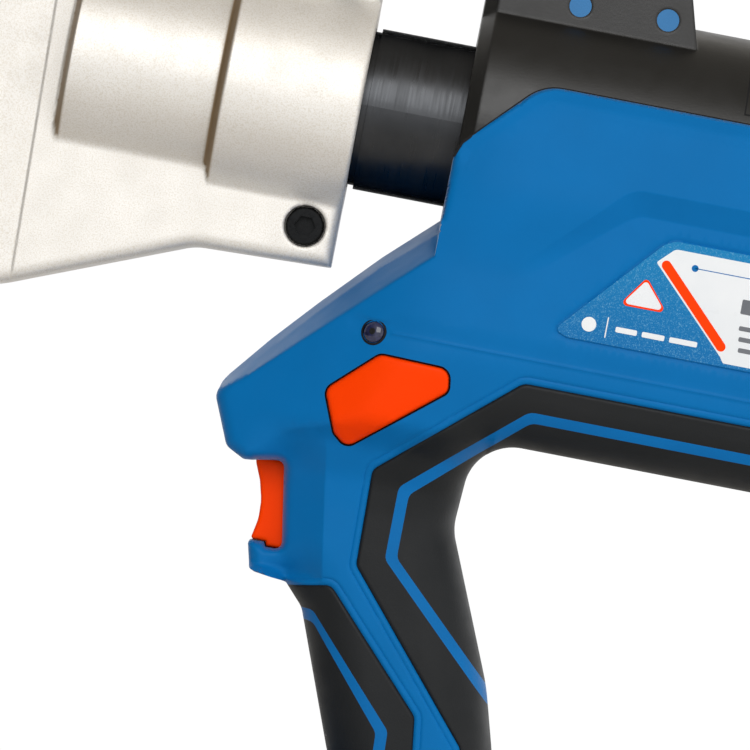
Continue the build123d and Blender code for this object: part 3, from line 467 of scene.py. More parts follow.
# Each colour is followed by the shade that clouds it, and the roughness.
BLUE = moulded("blue_plastic", (0.001, 0.151, 0.430), (0.001, 0.142, 0.405), 0.42, gloss=0.08, sheen=0.26)
STRIPE_BLUE = moulded("stripe_blue", (0.002, 0.150, 0.440), (0.002, 0.136, 0.405), 0.42,
                      grain=2200, gloss=0.1)
PLUG_BLUE = moulded("plug_blue", (0.030, 0.175, 0.410), (0.026, 0.160, 0.380), 0.42, grain=2200)
ORANGE = moulded("orange_plastic", (1.0, 0.054, 0.0003), (0.985, 0.050, 0.0003), 0.36, gloss=0.05)
RUBBER = moulded("grip_rubber", (0.006, 0.0075, 0.009), (0.008, 0.0095, 0.011), 0.5,
                 grain=1900, depth=0.00005, gloss=0.27)
BLACK = moulded("black_plastic", (0.0040, 0.0038, 0.0032), (0.0060, 0.0057, 0.0049), 0.37,
                grain=1500, depth=0.00004, gloss=0.5, soft=0.0012)
DARK = moulded("dark_recess", (0.006, 0.006, 0.007), (0.004, 0.004, 0.005), 0.7)
WHITE_FILM = moulded("white_film", (0.82, 0.84, 0.86), (0.76, 0.79, 0.82), 0.3, grain=900, depth=0.00001)
GREY_INK = moulded("grey_ink", (0.12, 0.13, 0.15), (0.16, 0.17, 0.19), 0.4)
NICKEL = cast_metal("cast_nickel")
BLUED = turned_metal("blued_steel", (0.060, 0.062, 0.066), (0.044, 0.046, 0.049), 0.33,
                     stretch=(1, 0.05, 0.05), scale=1500, rim=0.25)
SCREW_BLACK = turned_metal("screw_black", (0.014, 0.0145, 0.015), (0.010, 0.0105, 0.011), 0.28,
                           stretch=(1, 0.3, 1), scale=1300)
DIE_STEEL = turned_metal("die_steel", (0.085, 0.085, 0.09), (0.06, 0.06, 0.066), 0.34,
                         stretch=(1, 0.05, 1), scale=1300)
BRIGHT = turned_metal("bright_steel", (0.62, 0.61, 0.60), (0.50, 0.49, 0.48), 0.26,
                      stretch=(1, 0.08, 1), scale=1200)
CHROME = turned_metal("hard_chrome", (0.80, 0.80, 0.81), (0.72, 0.72, 0.74), 0.12,
                      stretch=(0.05, 1, 1), scale=1600)
ALUMINIUM = turned_metal("pump_aluminium", (0.70, 0.71, 0.72), (0.62, 0.63, 0.64), 0.3, stretch=(0.1, 1, 1))
BRONZE = turned_metal("bronze", (0.60, 0.40, 0.19), (0.48, 0.31, 0.14), 0.3, stretch=(0.1, 1, 1))
IRON = turned_metal("motor_iron", (0.22, 0.22, 0.23), (0.17, 0.17, 0.18), 0.4, stretch=(0.1, 1, 1), scale=700)
CELL = moulded("cell_sleeve", (0.05, 0.30, 0.34), (0.04, 0.26, 0.30), 0.3)
BOARD = moulded("board", (0.01, 0.11, 0.05), (0.012, 0.13, 0.06), 0.35)
FILM = sparkle_film("sparkle_film", -22)
LENS = lens_material("indicator_lens")
NODE_MATERIALS = {
    BLACK: ("barrel_cover", "rear_cap", "battery_case_upper", "battery_case_lower", "motor_end_bell",
            "trigger_switch", "terminal_block"),
    BLUED: ("coupling_sleeve",),
    SCREW_BLACK: ("clamp_screws", "housing_screws"),
    DIE_STEEL: ("moving_die", "fixed_die", "ram_head"),
    BRIGHT: ("hanger_eye", "eye_pins", "frame_die_button", "ram_die_button", "crank_ring", "crank_shaft",
             "crank_bearing", "planet_1", "planet_2", "planet_3", "planet_carrier", "ring_gear", "pump_plugs",
             "pump_plunger", "retaining_ring", "return_spring", "release_spring", "trigger_spring"),
    CHROME: ("ram_piston",),
    ALUMINIUM: ("pump_body", "gearbox_case"),
    BRONZE: ("swivel_bush", "rod_guide_ring", "battery_contacts"),
    IRON: ("motor_can", "motor_magnets", "motor_rotor"),
    RUBBER: ("piston_seal", "rod_wiper", "sleeve_orings", "oil_reservoir"),
    CELL: ("battery_cells",),
    BOARD: ("control_board",),
    PLUG_BLUE: ("saddle_plugs",),
    ORANGE: ("battery_latch_left", "battery_latch_right"),
    LENS: ("work_light",),
}
for material, names in NODE_MATERIALS.items():
    for name in names:
        NODES[name].data.materials.clear()
        NODES[name].data.materials.append(material)

# ---- blue body and handle: its form
HOUSING_FRONT, NOSE_LENGTH = -24.4, 49.3
# Corners of the body's side view: u, v, corner radius, and the kind of edge that runs on from there.
BODY = (
    (HOUSING_FRONT, -9.4, 0.8, "border"), (-25.9, -5.5, 1.2, "border"), (-43.9, 13, 12, "border"),
    (-178, 13, 12, "border"), (-190, 1, 10, "border"), (-190, -34, 8, "rear"), (-172, -52, 14, "rear"),
    (-134, -80.2, 26, "under"), (-44.4, -80.2, 20.5, "rear_grip"), (-43.0, -104.5, 14, "rear_grip"),
    (-59.4, -143.5, 60, "rear_grip"), (-63.6, -158.5, 40, "rear_grip"), (-69.5, -181, 8, "foot"),
    (-76, -188.5, 5, "foot"), (-78, -197, 3, "foot"), (-78, FOOT_V, 1.2, "base"), (48, FOOT_V, 1.2, "foot"),
    (48, -197, 4, "foot"), (42, -192, 8, "foot"), (6, -187, 30, "foot"), (-27, -181.5, 12, "front_grip"),
    (-20.8, -166.7, 20, "front_grip"), (-7.6, -132.2, 6, "front_grip"), (-2.0, -126.2, 3, "lip"),
    (6.2, -125.1, 1.2, "lip"), (7.8, -124.5, 1, "lip"), (9.6, -117.35, 0.8, "lip"),
    (5.3, -117.15, 0.3, "slot"), (4.7, -118.4, 0.3, "slot"), (0.3, -118.3, 1.7, "slot"),
    (4.1, -95.1, 1.9, "slot"), (11.6, -96.4, 0.8, "tip"), (14.5, -96.7, 1.5, "tip"), (19.6, -94.1, 3, "tip"),
    (24.9, -81.7, 3, "tip"), (24.0, -77.6, 2.0, "ridge"), (22.7, -75.6, 4, "ridge"),
    (13.5, -64.3, 30, "ridge"), (2.8, -52.4, 30, "ridge"), (-11.2, -37.7, 30, "ridge"),
    (HOUSING_FRONT, -25.3, 0, "front"),
)
# How the skin turns in at each kind of edge: the depth of the round, and its power.
ROUNDS = {
    "rear": (7, 2.2), "under": (13, 2.1), "rear_grip": (16, 2.1), "front_grip": (15, 2.1), "lip": (4, 2),
    "foot": (6, 2.2), "tip": (3.2, 2), "base": (2, 2), "front": (1.8, 2),
}
# The flank steps in between two creases that run down to the nose and to the rear.
CREASE_HIGH = rounded([
    (-30, -50, 0), (-62.2, -18.2, 0), (-71.5, -9.1, 9), (-156, -9.1, 9), (-165, -18.2, 0), (-192, -46, 0)],
    closed=False)
CREASE_LOW = rounded([
    (-30, -52.4, 0), (-67.2, -20.8, 0), (-74, -15.4, 8), (-152, -15.4, 8), (-160.4, -20.8, 0),
    (-192, -52, 0)], closed=False)
OVER = np.vstack([CREASE_HIGH, [(-230, -46), (-230, 60), (60, 60), (60, -50)]])
UNDER = np.vstack([CREASE_LOW, [(-230, -52), (-230, -300), (60, -300), (60, -52.4)]])
# Two slanting faces run along the top of the nose, between these lines.
NOSE_TOP = np.array([
    (HOUSING_FRONT, -25.3), (-11.2, -37.7), (2.8, -52.4), (13.5, -64.3), (22.7, -75.6), (24.6, -79.5)])
NOSE_MIDDLE = np.array([
    (HOUSING_FRONT, -29.2), (-11, -41.0), (2.4, -54.8), (17.8, -72.1), (23.0, -77.6), (24.6, -79.8)])
NOSE_SIDE = np.array([
    (HOUSING_FRONT, -35.6), (-9.5, -49.3), (-1, -57.3), (17.4, -74.8), (22.4, -78.9), (24.6, -80.0)])
NOSE_BELOW = np.vstack([NOSE_SIDE, [(30, -110), (HOUSING_FRONT, -110)]])
# In front of this line the flank is relieved for the finger on the trigger.
FINGER_LINE = np.array([(5, -64), (-4, -84), (-6.4, -90), (-7.8, -100), (-10.9, -119.5), (-12.2, -127)])
FINGER_SIDE = np.vstack([FINGER_LINE, [(-15.5, -140), (60, -140), (60, -64)]])
# The rubber overmoulds, and the outer and inner edges of the stripe in each.
REAR_CORNERS = [
    (-128, -63.5, 5), (-53.2, -63.5, 4), (-19.1, -92.9, 3), (-19.6, -118.3, 3), (-55.2, -160.1, 4),
    (-61, -177, 2), (-90, -177, 0), (-90, -100, 0), (-100, -95, 0), (-128, -95, 0)]
FRONT_CORNERS = [
    (-2.2, -127.2, 0.5), (-14.2, -124.6, 3), (-42.1, -154.2, 3), (-45, -176.5, 2), (10, -176.5, 0),
    (10, -127.2, 0)]
REAR_RUBBER, FRONT_RUBBER = rounded(REAR_CORNERS), rounded(FRONT_CORNERS)
REAR_BAND = (
    rounded([(-122.3, -70.6, 4), (-56.2, -70.5, 4), (-26.7, -96.1, 3), (-26.7, -115.3, 3), (-59.8, -147.4, 0),
             (-90, -176, 0), (-100, -95, 0), (-122.3, -95, 0)]),
    rounded([(-119.4, -73.3, 3), (-57.2, -73.2, 4), (-29.7, -97.6, 3), (-29.7, -114.4, 3), (-60.5, -144.2, 0),
             (-95, -176, 0), (-100, -95, 0), (-119.4, -95, 0)]))
FRONT_BAND = (
    rounded([(8, -133.2, 0), (-10.6, -131.9, 3), (-35.9, -159.2, 3), (-37, -190, 0), (8, -190, 0)]),
    rounded([(8, -135.4, 0), (-11.2, -135.0, 3), (-32.9, -160.2, 3), (-34, -190, 0), (8, -190, 0)]))
RELEASE_CORNERS = [(-15.4, -63.1, 3), (-33.8, -63.6, 3.2), (-34.6, -69.4, 2.5), (-11.2, -88.6, 3.2),
                   (-7.4, -85.4, 2), (-3.0, -74.6, 3)]
RELEASE = rounded(RELEASE_CORNERS, step=0.5)
LABEL = rounded([(-58.2, -48.3, 1.2), (-61.9, -49.6, 2), (-157, -49.6, 3), (-160, -46.6, 3), (-160, -23.1, 3),
                 (-157, -20.1, 3), (-84.9, -20.1, 4), (-82.1, -21.5, 4)], step=0.5)
LED = (-12.7, -57.7)
LED_RING, LED_DOME = 3.4, 2.9
SCREW_HOLE = 3.1
GROOVE_GAP, RIDGE_V = 1.8, -57.3
RIDGE = np.array([(-17.5, RIDGE_V), (-168, RIDGE_V)])
# The battery's T-slot in the foot.
CHANNEL_U, CHANNEL_TOP_V, CHANNEL_HALF = 45.0, -197.0, 26.3
CHANNEL_BACK, CHANNEL_NECK, CHANNEL_LIP_V, CHANNEL_ROOF_V = -66.5, 22.3, -203.3, -198.2
# Half the width of the body over the creases and under them, and of the foot and handle from the base up.
CREASE_HALF, FLANK_HALF = 38.1, 35
HANDLE_V = (-206, -190, -184, -172, -104, -96, -87, -80.2, -57.5, 0)
HANDLE_HALF = (37, 37, 33, 18.5, 18.5, 19.2, 23, 30.4, 34.8, 46)


def ring(centre, radius, count=32):
    """A circle of points in the side view."""
    turn = np.arange(count) * 2 * math.pi / count
    return np.stack([centre[0] + radius * np.cos(turn), centre[1] + radius * np.sin(turn)], axis=1)


def round_centres(node, apart):
    """The side-view centres of a node's round parts, which stand further apart than the given gap."""
    left = np.array([v.co for v in NODES[node].data.vertices])[:, [0, 2]] * 1000 - (DATUM_X, AXIS_Z)
    found = []
    while len(left):
        near = np.linalg.norm(left - left[0], axis=1) < apart
        found.append((left[near].min(0) + left[near].max(0)) / 2)
        left = left[~near]
    return found


SCREWS = round_centres("housing_screws", 12)
FRONT_STEP = np.array([(HOUSING_FRONT, -26.2), (HOUSING_FRONT, -35.2)])


def grown(corners, gap):
    """Corners (u, v, radius) of a polygon moved outwards by gap, all the way round."""
    line = np.array([corner[:2] for corner in corners], float)
    ahead = np.roll(line, -1, axis=0) - line
    ahead /= np.linalg.norm(ahead, axis=1, keepdims=True)
    area = np.cross(line, np.roll(line, -1, axis=0)).sum()
    out = np.stack([ahead[:, 1], -ahead[:, 0]], axis=1) * math.copysign(gap, area)
    moved = []
    for i, corner in enumerate(corners):
        way, before = ahead[i], ahead[i - 1]
        start, earlier = line[i] + out[i], line[i] + out[i - 1]
        turn = way[0] * before[1] - way[1] * before[0]
        t = ((earlier - start)[0] * before[1] - (earlier - start)[1] * before[0]) / turn
        moved.append((*(start + t * way), corner[2] + gap))
    return moved


RELEASE_SEAT = rounded(grown(RELEASE_CORNERS, 0.42), step=0.5)
GROOVES = [rounded(grown(corners, GROOVE_GAP)) for corners in (REAR_CORNERS, FRONT_CORNERS)]
BODY_LINE = rounded([corner[:3] for corner in BODY])


def edge_runs(line, corners):
    """The outline's stretches of each kind, as polylines."""
    dense = filled(line, True, 1.5)
    ahead = np.roll(dense, -1, axis=0)
    middles = (dense + ahead) / 2
    after = corners[1:] + corners[:1]
    gaps = [distance(middles, np.array([a[:2], b[:2]], float)) for a, b in zip(corners, after)]
    owner = [corners[i][3] for i in np.argmin(gaps, axis=0)]
    runs = {}
    for kind, a, b in zip(owner, dense, ahead):
        group = runs.setdefault(kind, [])
        if group and np.allclose(group[-1][-1], a):
            group[-1].append(b)
        else:
            group.append([a, b])
    return {kind: [np.array(run) for run in group] for kind, group in runs.items()}


RUNS = edge_runs(BODY_LINE, BODY)


def edge_distance(points, kind):
    """The distance of each point from the outline's edges of one kind."""
    return np.min([distance(points, run) for run in RUNS[kind]], axis=0)


def body_width(points):
    """Half the width of the body and handle before its edges are rounded."""
    u, v = points.T
    top = CREASE_HALF - 3.1 * smooth(0, 24, -14 - v)
    over, under = inside(points, OVER), inside(points, UNDER)
    from_high, from_low = distance(points, CREASE_HIGH), distance(points, CREASE_LOW)
    share = np.where(over, 0, np.where(under, 1, from_high / np.maximum(from_high + from_low, 1e-6)))
    width = (1 - share) * top + share * np.minimum(top, FLANK_HALF)
    # the nose narrows forwards, and the handle is narrow down to the foot
    nose = FLANK_HALF - 20 * (u - HOUSING_FRONT) / NOSE_LENGTH + 3 * np.maximum(0, -124 - v)
    width = softmin(width, nose, 5)
    waist = [np.interp(v + shift, HANDLE_V, HANDLE_HALF) for shift in (-1.2, -0.4, 0.4, 1.2)]
    width = softmin(width, np.mean(waist, axis=0), 0.8)
    # a shallow step under the ridge, and the relief for the finger
    width = width - 0.42 * smooth(-4, -9, u) * (1 - smooth(-54.9, -54.1, v)) * smooth(-60, -57, v)
    reach = np.where(inside(points, FINGER_SIDE), np.minimum(distance(points, FINGER_LINE), 14), 0)
    carve = 0.68 * np.minimum(reach, 11) * smooth(-126, -122.5, v) * (1 - smooth(-98, -82, v))
    return width - carve * (1 - smooth(-4, 16, u) * smooth(-100, -95, v))


def nose_limit(points, width):
    """The two slanting faces along the top of the nose."""
    from_top, from_middle = edge_distance(points, "ridge"), distance(points, NOSE_MIDDLE)
    from_side = distance(points, NOSE_SIDE)
    shoulder = 0.48 * width
    upper = 0.6 + (shoulder - 0.6) * from_top / np.maximum(from_top + from_middle, 1e-6)
    lower = shoulder + (width - shoulder) * from_middle / np.maximum(from_middle + from_side, 1e-6)
    limit = np.full(len(points), 99.0)
    limit = np.where(inside(points, NOSE_BELOW), width + 3.5 * from_side, limit)
    limit = np.where(inside(points, np.vstack([NOSE_MIDDLE, NOSE_SIDE[::-1]])), lower, limit)
    limit = np.where(inside(points, np.vstack([NOSE_TOP + (0, 9), NOSE_MIDDLE[::-1]])), upper, limit)
    return np.where(points[:, 0] >= HOUSING_FRONT - 0.02, limit, 99.0)


def body_height(points, side):
    """The outer surface of the body on one side: its width, its rounded edges, its grooves and its seats."""
    u, v = points.T
    border = edge_distance(points, "border")
    # a raised rim along the border, which meets the barrel
    width = body_width(points) + 0.9 * np.clip(1 - (border - 0.9) / 3.0, 0, 1)
    width = width + 0.16 * np.exp(-((border - 4.3) / 0.45) ** 2)
    on_barrel = np.sqrt(np.maximum(BARREL_R ** 2 - v ** 2, 0))
    height = np.minimum(width, on_barrel + (width - on_barrel) * bulge(border, 0.9))
    for kind, (depth, power) in ROUNDS.items():
        depth = np.minimum(depth, width - 1)
        turned = width - depth + depth * bulge(edge_distance(points, kind), depth, power)
        height = np.minimum(height, turned)
    cheek = TRIGGER_HALF + 0.5
    height = np.minimum(height, cheek + (width - cheek) * bulge(edge_distance(points, "slot"), 2))
    height = softmin(height, nose_limit(points, width), 1.6)
    # the rubbers stand proud inside a groove, with a second groove round them
    for rubber in (REAR_RUBBER, FRONT_RUBBER):
        gap = distance(points, rubber, True)
        within = inside(points, rubber)
        height = height + 0.25 * within * smooth(0, 0.5, gap) - 0.45 * np.exp(-(gap / 0.3) ** 2)
        height = height - 0.3 * ~within * np.exp(-((gap - GROOVE_GAP) / 0.28) ** 2)
    height = height + 0.34 * np.exp(-(distance(points, RIDGE) / 0.35) ** 2)
    gap = distance(points, LABEL, True)
    height = height - 0.4 * ~inside(points, LABEL) * np.exp(-((gap - 0.45) / 0.3) ** 2)
    if side > 0:
        gap = distance(points, RELEASE, True)
        button, seat = height - 1.2 + 1.6 * bulge(gap, 1.2), height - 1.2 * (1 - smooth(0.15, 0.4, gap))
        height = np.where(inside(points, RELEASE), button, seat)
    else:
        for screw in SCREWS:
            near = np.hypot(u - screw[0], v - screw[1])
            height = height - 7 * (1 - smooth(SCREW_HOLE - 0.15, SCREW_HOLE + 0.1, near))
    return np.minimum(height, BODY_HALF)


def follow(closed, *lines):
    """Lines that a relief's mesh keeps, each with whether it closes."""
    return [(line, closed) for line in lines]


BODY_LINES = (
    follow(False, NOSE_MIDDLE[:-2], NOSE_SIDE[:-2], FRONT_STEP, FRONT_STEP - (0.35, 0))
    + follow(True, RELEASE_SEAT) + follow(False, CREASE_HIGH, CREASE_LOW)
    + follow(True, REAR_RUBBER, FRONT_RUBBER, *REAR_BAND, *FRONT_BAND, RELEASE, LABEL)
    + follow(False, FINGER_LINE) + follow(True, ring(LED, LED_RING)) + follow(False, RIDGE)
    + follow(True, *GROOVES, *(ring(screw, SCREW_HOLE) for screw in SCREWS)))
body = Relief(BODY_LINE, body_height, lines=BODY_LINES, grid=2.2)


def band(rubber, stripe):
    """True for each of the body's triangles in a rubber's stripe."""
    return rubber & inside(body.centres, stripe[0]) & ~inside(body.centres, stripe[1])


in_rear, in_front = inside(body.centres, REAR_RUBBER), inside(body.centres, FRONT_RUBBER)
in_band = band(in_rear, REAR_BAND) | band(in_front, FRONT_BAND)
in_release = inside(body.centres, RELEASE)
in_gap = inside(body.centres, RELEASE_SEAT) & ~in_release
in_led = np.hypot(*(body.centres - LED).T) < LED_RING - 0.6
plain = ~(in_rear | in_front)


def body_drop(points):
    """How far the body's edge walls go in: to the middle, or less where another part stands there."""
    floor = np.zeros(len(points))
    width = body_height(points, 1)
    for kind, depth in (("base", 4), ("border", 3), ("slot", 0)):
        near = edge_distance(points, kind) < 0.01
        floor = np.where(near, width - depth, floor)
    u, v = points.T
    return np.where((u > CHANNEL_U) & (v < CHANNEL_TOP_V), CHANNEL_HALF, floor)


def skin(name, material, chosen, sides=(1, -1), drop=body_drop, **place_in):
    """A piece cut from the body's surface."""
    fit(body.surface(name, material, chosen, sides, drop), **place_in)


shell = plain & ~in_release & ~in_gap & ~in_led
skin("blue_body_left", BLUE, shell, (1,), node="housing_left", slot="blue_plastic")
skin("blue_body_right", BLUE, plain, (-1,), node="housing_right", slot="blue_plastic")
skin("rear_grip_rubber", RUBBER, in_rear & ~in_band, node="grip_rubber_rear", slot="grip_rubber")
skin("front_grip_rubber", RUBBER, in_front & ~in_band, node="grip_rubber_front", slot="grip_rubber")
skin("grip_bands", STRIPE_BLUE, in_band, slot="blue_plastic")
skin("release_gap", DARK, in_gap, (1,), None)
skin("release_face", ORANGE, in_release, (1,), None, body="release", node="release_button",
     slot="orange_plastic")


def foot_lining():
    """The walls of the foot's battery channel, a T-slot that is open to the front and below."""
    front, base, flange = CHANNEL_U + 1.5, FOOT_V + 0.05, 34
    half = [(flange, base), (CHANNEL_NECK, base), (CHANNEL_NECK, CHANNEL_LIP_V),
            (CHANNEL_HALF, CHANNEL_LIP_V), (CHANNEL_HALF, CHANNEL_ROOF_V)]
    section = half + [(-y, v) for y, v in reversed(half)]
    count = len(section)
    verts = [place(u, y, v) for u in (CHANNEL_BACK, front) for y, v in section]
    polys = [(k, k + 1, k + 1 + count, k + count) for k in range(count - 1)]
    polys.append(tuple(range(1, count - 1)))
    # plates that close the front beside the slot's neck and over its roof
    for low_y, high_y, low, high in ((CHANNEL_NECK, CHANNEL_HALF, base, CHANNEL_LIP_V),
                                     (-CHANNEL_HALF, -CHANNEL_NECK, base, CHANNEL_LIP_V),
                                     (-CHANNEL_HALF, CHANNEL_HALF, CHANNEL_ROOF_V, CHANNEL_TOP_V)):
        start = len(verts)
        corners = ((low_y, low), (high_y, low), (high_y, high), (low_y, high))
        verts += [place(front, y, v) for y, v in corners]
        polys.append(tuple(range(start, start + 4)))
    fit(make_mesh("foot_lining", verts, polys, DARK, smooth_faces=False))


foot_lining()


# ---- indicator and trigger
def facing(height, at):
    """The outward direction of a surface given by a side-view height, and its height, at one place."""
    step = 0.4
    around = np.array([at, (at[0] + step, at[1]), (at[0], at[1] + step)], float)
    here, ahead, above = height(around)
    return Vector((-(ahead - here) / step, 1, -(above - here) / step)).normalized(), here


led_way, led_height = facing(body_width, LED)
led_seat = Vector(place(LED[0], led_height, LED[1]))
LED_DEPTH = -2.5
bezel = [(LED_RING + 0.1, LED_DEPTH), (LED_RING + 0.1, 0.1), (LED_RING - 0.1, 0.3), (LED_DOME + 0.1, 0.3),
         (LED_DOME, 0.0), (LED_DOME, LED_DEPTH)]
dome = [(LED_DOME, -2.4)] + [
    (LED_DOME * math.cos(a), -0.2 + 1.5 * math.sin(a)) for a in np.linspace(0, math.pi / 2 - 0.04, 12)]
core = [(1.0, -2.4), (1.0, 1.0), (0.8, 1.3), (0.5, 1.36), (0.4, 1.3)]
fit(lathe("led_bezel", bezel, led_seat, led_way, DARK))
fit(lathe("led_dome", dome, led_seat, led_way, LENS), node="indicator_led", slot="lens")
fit(lathe("led_core", core, led_seat, led_way, DARK))

TRIGGER_LINE = rounded([
    (11.5, -95.1, 0.4), (11.3, -97, 3), (9.4, -101.5, 8), (8.1, -106.6, 12), (7.9, -111.5, 12),
    (8.9, -116.6, 0.7), (8.2, -117.0, 0.3), (5.0, -117.0, 0.2), (4.5, -118.2, 0.3), (-6, -118.2, 0),
    (-6, -95.1, 0)], step=0.5)
TRIGGER_RINGS = (0.12, 0.35, 0.7, 1.2, 1.8, 2.4)


def trigger_height(points, side):
    """The blade's side, with a rounded edge."""
    edge = distance(points, TRIGGER_LINE, True)
    return TRIGGER_HALF - 1.2 + 1.2 * bulge(edge, 1.2, 2.2)


trigger = Relief(TRIGGER_LINE, trigger_height, grid=1.6, edge_step=0.5, rings=TRIGGER_RINGS)
fit(trigger.surface("trigger_blade", ORANGE, drop=level(0)), "trigger", "trigger", "orange_plastic")

# ---- labels
FILM_FACE = LABEL_FACE + 0.34
WHITE_PANEL = rounded([
    (-80.9, -26.3, 0.5), (-85.2, -22.1, 2.0), (-156.6, -22.1, 2.4), (-158.2, -24, 2.4), (-158.2, -46.2, 2.4),
    (-156.2, -48.7, 2.4), (-102.6, -48.7, 0.6), (-101.6, -47.2, 0.8)], step=0.5)


def capsule(start, end, radius):
    """A bar with round ends in the side view."""
    start, end = np.array(start, float), np.array(end, float)
    along = (end - start) / np.linalg.norm(end - start)
    across = np.array((-along[1], along[0]))
    turn = np.linspace(-math.pi / 2, math.pi / 2, 10)
    cap = [end + radius * (along * math.cos(a) + across * math.sin(a)) for a in turn]
    cap += [start - radius * (along * math.cos(a) + across * math.sin(a)) for a in turn]
    return np.array(cap)


def block(back, front, v, half):
    """An upright rectangle in the side view with slightly rounded corners."""
    corners = ((front, v - half, 0.3), (front, v + half, 0.3), (back, v + half, 0.3), (back, v - half, 0.3))
    return rounded(corners, step=0.3)


TRIANGLE = [(-79.3, -30.6, 1.0), (-73.5, -38.8, 1.0), (-86.0, -38.8, 1.0)]
TRIANGLE_IN = [(-79.3, -31.4, 0.8), (-74.3, -38.3, 0.8), (-85.2, -38.3, 0.8)]
# What is printed on the film: plain shapes and bars, each with its material and its layer over the film.
PRINTS = (
    ("panel", WHITE_FILM, 1, [WHITE_PANEL]),
    ("accent", ORANGE, 2, [capsule((-83.6, -26.6), (-101.3, -44.6), 1.25), rounded(TRIANGLE, step=0.4)]),
    ("mark", WHITE_FILM, 3, [
        rounded(TRIANGLE_IN, step=0.4), ring((-66.8, -45.3), 1.9, 28), block(-71.6, -71.3, -45.3, 2.7),
        block(-79.4, -73.8, -45.3, 0.7), block(-86.6, -80.7, -45.3, 0.7), block(-95.2, -87.9, -45.3, 0.7)]),
    ("line", STRIPE_BLUE, 2, [block(-118, -91, -26.0, 0.12), ring((-91, -26.0), 0.9, 20)]),
    ("ink", GREY_INK, 2, [
        block(-140, -104.6, -33.4, 1.9), block(-150, -105, -39.0, 0.6), block(-146, -105.4, -41.8, 0.6),
        block(-152, -105.8, -44.6, 0.6)]),
)
film = Relief(LABEL, level(FILM_FACE), grid=6, rings=(0.3,))
film = film.surface("label_film", FILM, drop=level(LABEL_FACE - 0.1), smooth_faces=False)
fit(film, node="side_labels", slot="label_film")
for word, material, layer, shapes in PRINTS:
    for number, shape in enumerate(shapes, 1):
        ink = Relief(shape, level(FILM_FACE + 0.02 * layer), grid=8, rings=(), edge_step=2)
        fit(ink.surface(f"label_{word}_{number}", material, smooth_faces=False))

# ---- head casting
HEAD_REAR, REAR_BOSS, FRONT_BOSS = 1.7, 30.9, 27.6
BOSS_STEP, BOSS_END = (37.2, 39.3), (77.9, 81.0)
PLATE_HALF, HEAD_EDGE = 15.0, 3.2
MACHINED, STEP_LEAN = (84.7, 85.2), 0.027
COUNTERBORE, BORE_FLOOR = 5.5, 8.0
CLAMP = round_centres("clamp_screws", 12)
# The fixed die's seat is an arc of the throat's outline, in the arm at the front.
SEAT_R, SEAT_U, ARM_U = 16.0, 156.0, 160.0
seat_top = math.asin(math.sqrt(SEAT_R ** 2 - (ARM_U - SEAT_U) ** 2) / SEAT_R)
seat_turns = np.linspace(-seat_top, seat_top, 26)
SEAT = [(SEAT_U + SEAT_R * math.cos(a), SEAT_R * math.sin(a), 0) for a in seat_turns]
HEAD_LINE = rounded([
    (HEAD_REAR, 42.9, 0.4), (38.2, 44.1, 14), (66, 45, 10), (88, 41, 10), (101, 31, 2), (101, -25, 4),
    (160, -25, 14), *SEAT, (160, 30, 3), (166, 37, 8), (180, 37, 22), (194, 28, 22), (HEAD_FRONT, 8, 22),
    (HEAD_FRONT, -22, 22), (196, -46, 22), (176, -62, 22), (150, -69, 14), (104, -69, 14),
    (85.2, -62.9, 14), (38.2, -44.1, 14), (HEAD_REAR, -42.9, 0.4)])


def head_parts(points):
    """The heights of the plate and of the bosses over it."""
    u, v = points.T
    plate = PLATE_HALF - 0.5 * smooth(*MACHINED, u - STEP_LEAN * v)
    # the rounded edge is narrower in the throat
    narrow = 1.6 * smooth(90, 97, u) * (1 - smooth(102, 106, u)) * (v > -40)
    rim = distance(points, HEAD_LINE, True) * (1 + narrow)
    plate = plate - HEAD_EDGE + HEAD_EDGE * bulge(rim, HEAD_EDGE, 2.2)
    radius = FRONT_BOSS + (REAR_BOSS - FRONT_BOSS) * (1 - smooth(*BOSS_STEP, u))
    boss = np.sqrt(np.maximum(radius ** 2 - v ** 2, 0))
    boss = 12 + (boss - 12) * (1 - smooth(*BOSS_END, u))
    boss = boss - 1.2 + 1.2 * bulge(u - HEAD_REAR, 1.2)
    return plate, boss


def head_height(points, side):
    """The casting's outer surface, with the clamp screws' counterbores on the left."""
    u, v = points.T
    height = softmax(*head_parts(points), 1.8)
    if side > 0:
        for centre in CLAMP:
            near = np.hypot(u - centre[0], v - centre[1])
            height = height - 0.4 * (1 - smooth(COUNTERBORE, COUNTERBORE + 0.5, near))
            height = np.where(near < COUNTERBORE - 0.05, BORE_FLOOR, height)
    return height


STEPS = [[(u, -32), (u, 32)] for u in BOSS_STEP + BOSS_END]
STEPS += [[(u - 66 * STEP_LEAN, -66), (u + 39 * STEP_LEAN, 39)] for u in (84.6, 85.3)]
STEPS += [[(back, v), (front, v)] for back, front, half in ((2.2, 37, 27.0), (38.2, 78, 23.2))
          for v in (-half, half)]
BORES = [ring(centre, COUNTERBORE - gap, 48) for gap in (0, 0.1) for centre in CLAMP]
HEAD_LINES = follow(False, *np.array(STEPS, float)) + follow(True, *BORES)
head = Relief(HEAD_LINE, head_height, lines=HEAD_LINES, grid=2.2, line_rings=(0.4, 0.9, 1.5))
casting = head.surface("head_casting", NICKEL, drop=level(0))
fit(casting, "head", "head_frame", "cast_nickel")


def painted_shade_values(mesh):
    """How much brown painted shade the plating gets: on the bosses' front walls, where shade falls, and along
    their lower sides.
    """
    here = np.array([v.co for v in mesh.vertices]) * 1000 - (DATUM_X, 0, AXIS_Z)
    u, v = here[:, 0], np.abs(here[:, 2])
    plate, boss = head_parts(here[:, [0, 2]])
    over = smooth(-0.5, 1.0, boss - plate)
    wall = np.maximum(smooth(36.9, 37.9, u) * (1 - smooth(39.2, 40.0, u)),
                      smooth(77.6, 78.6, u) * (1 - smooth(81, 82, u)))
    low = smooth(6, 15, v) * (1 - smooth(22, 27, v))
    return np.clip(over * (wall * (1 - smooth(26, 28.5, v)) + 0.13 * low), 0, 1)
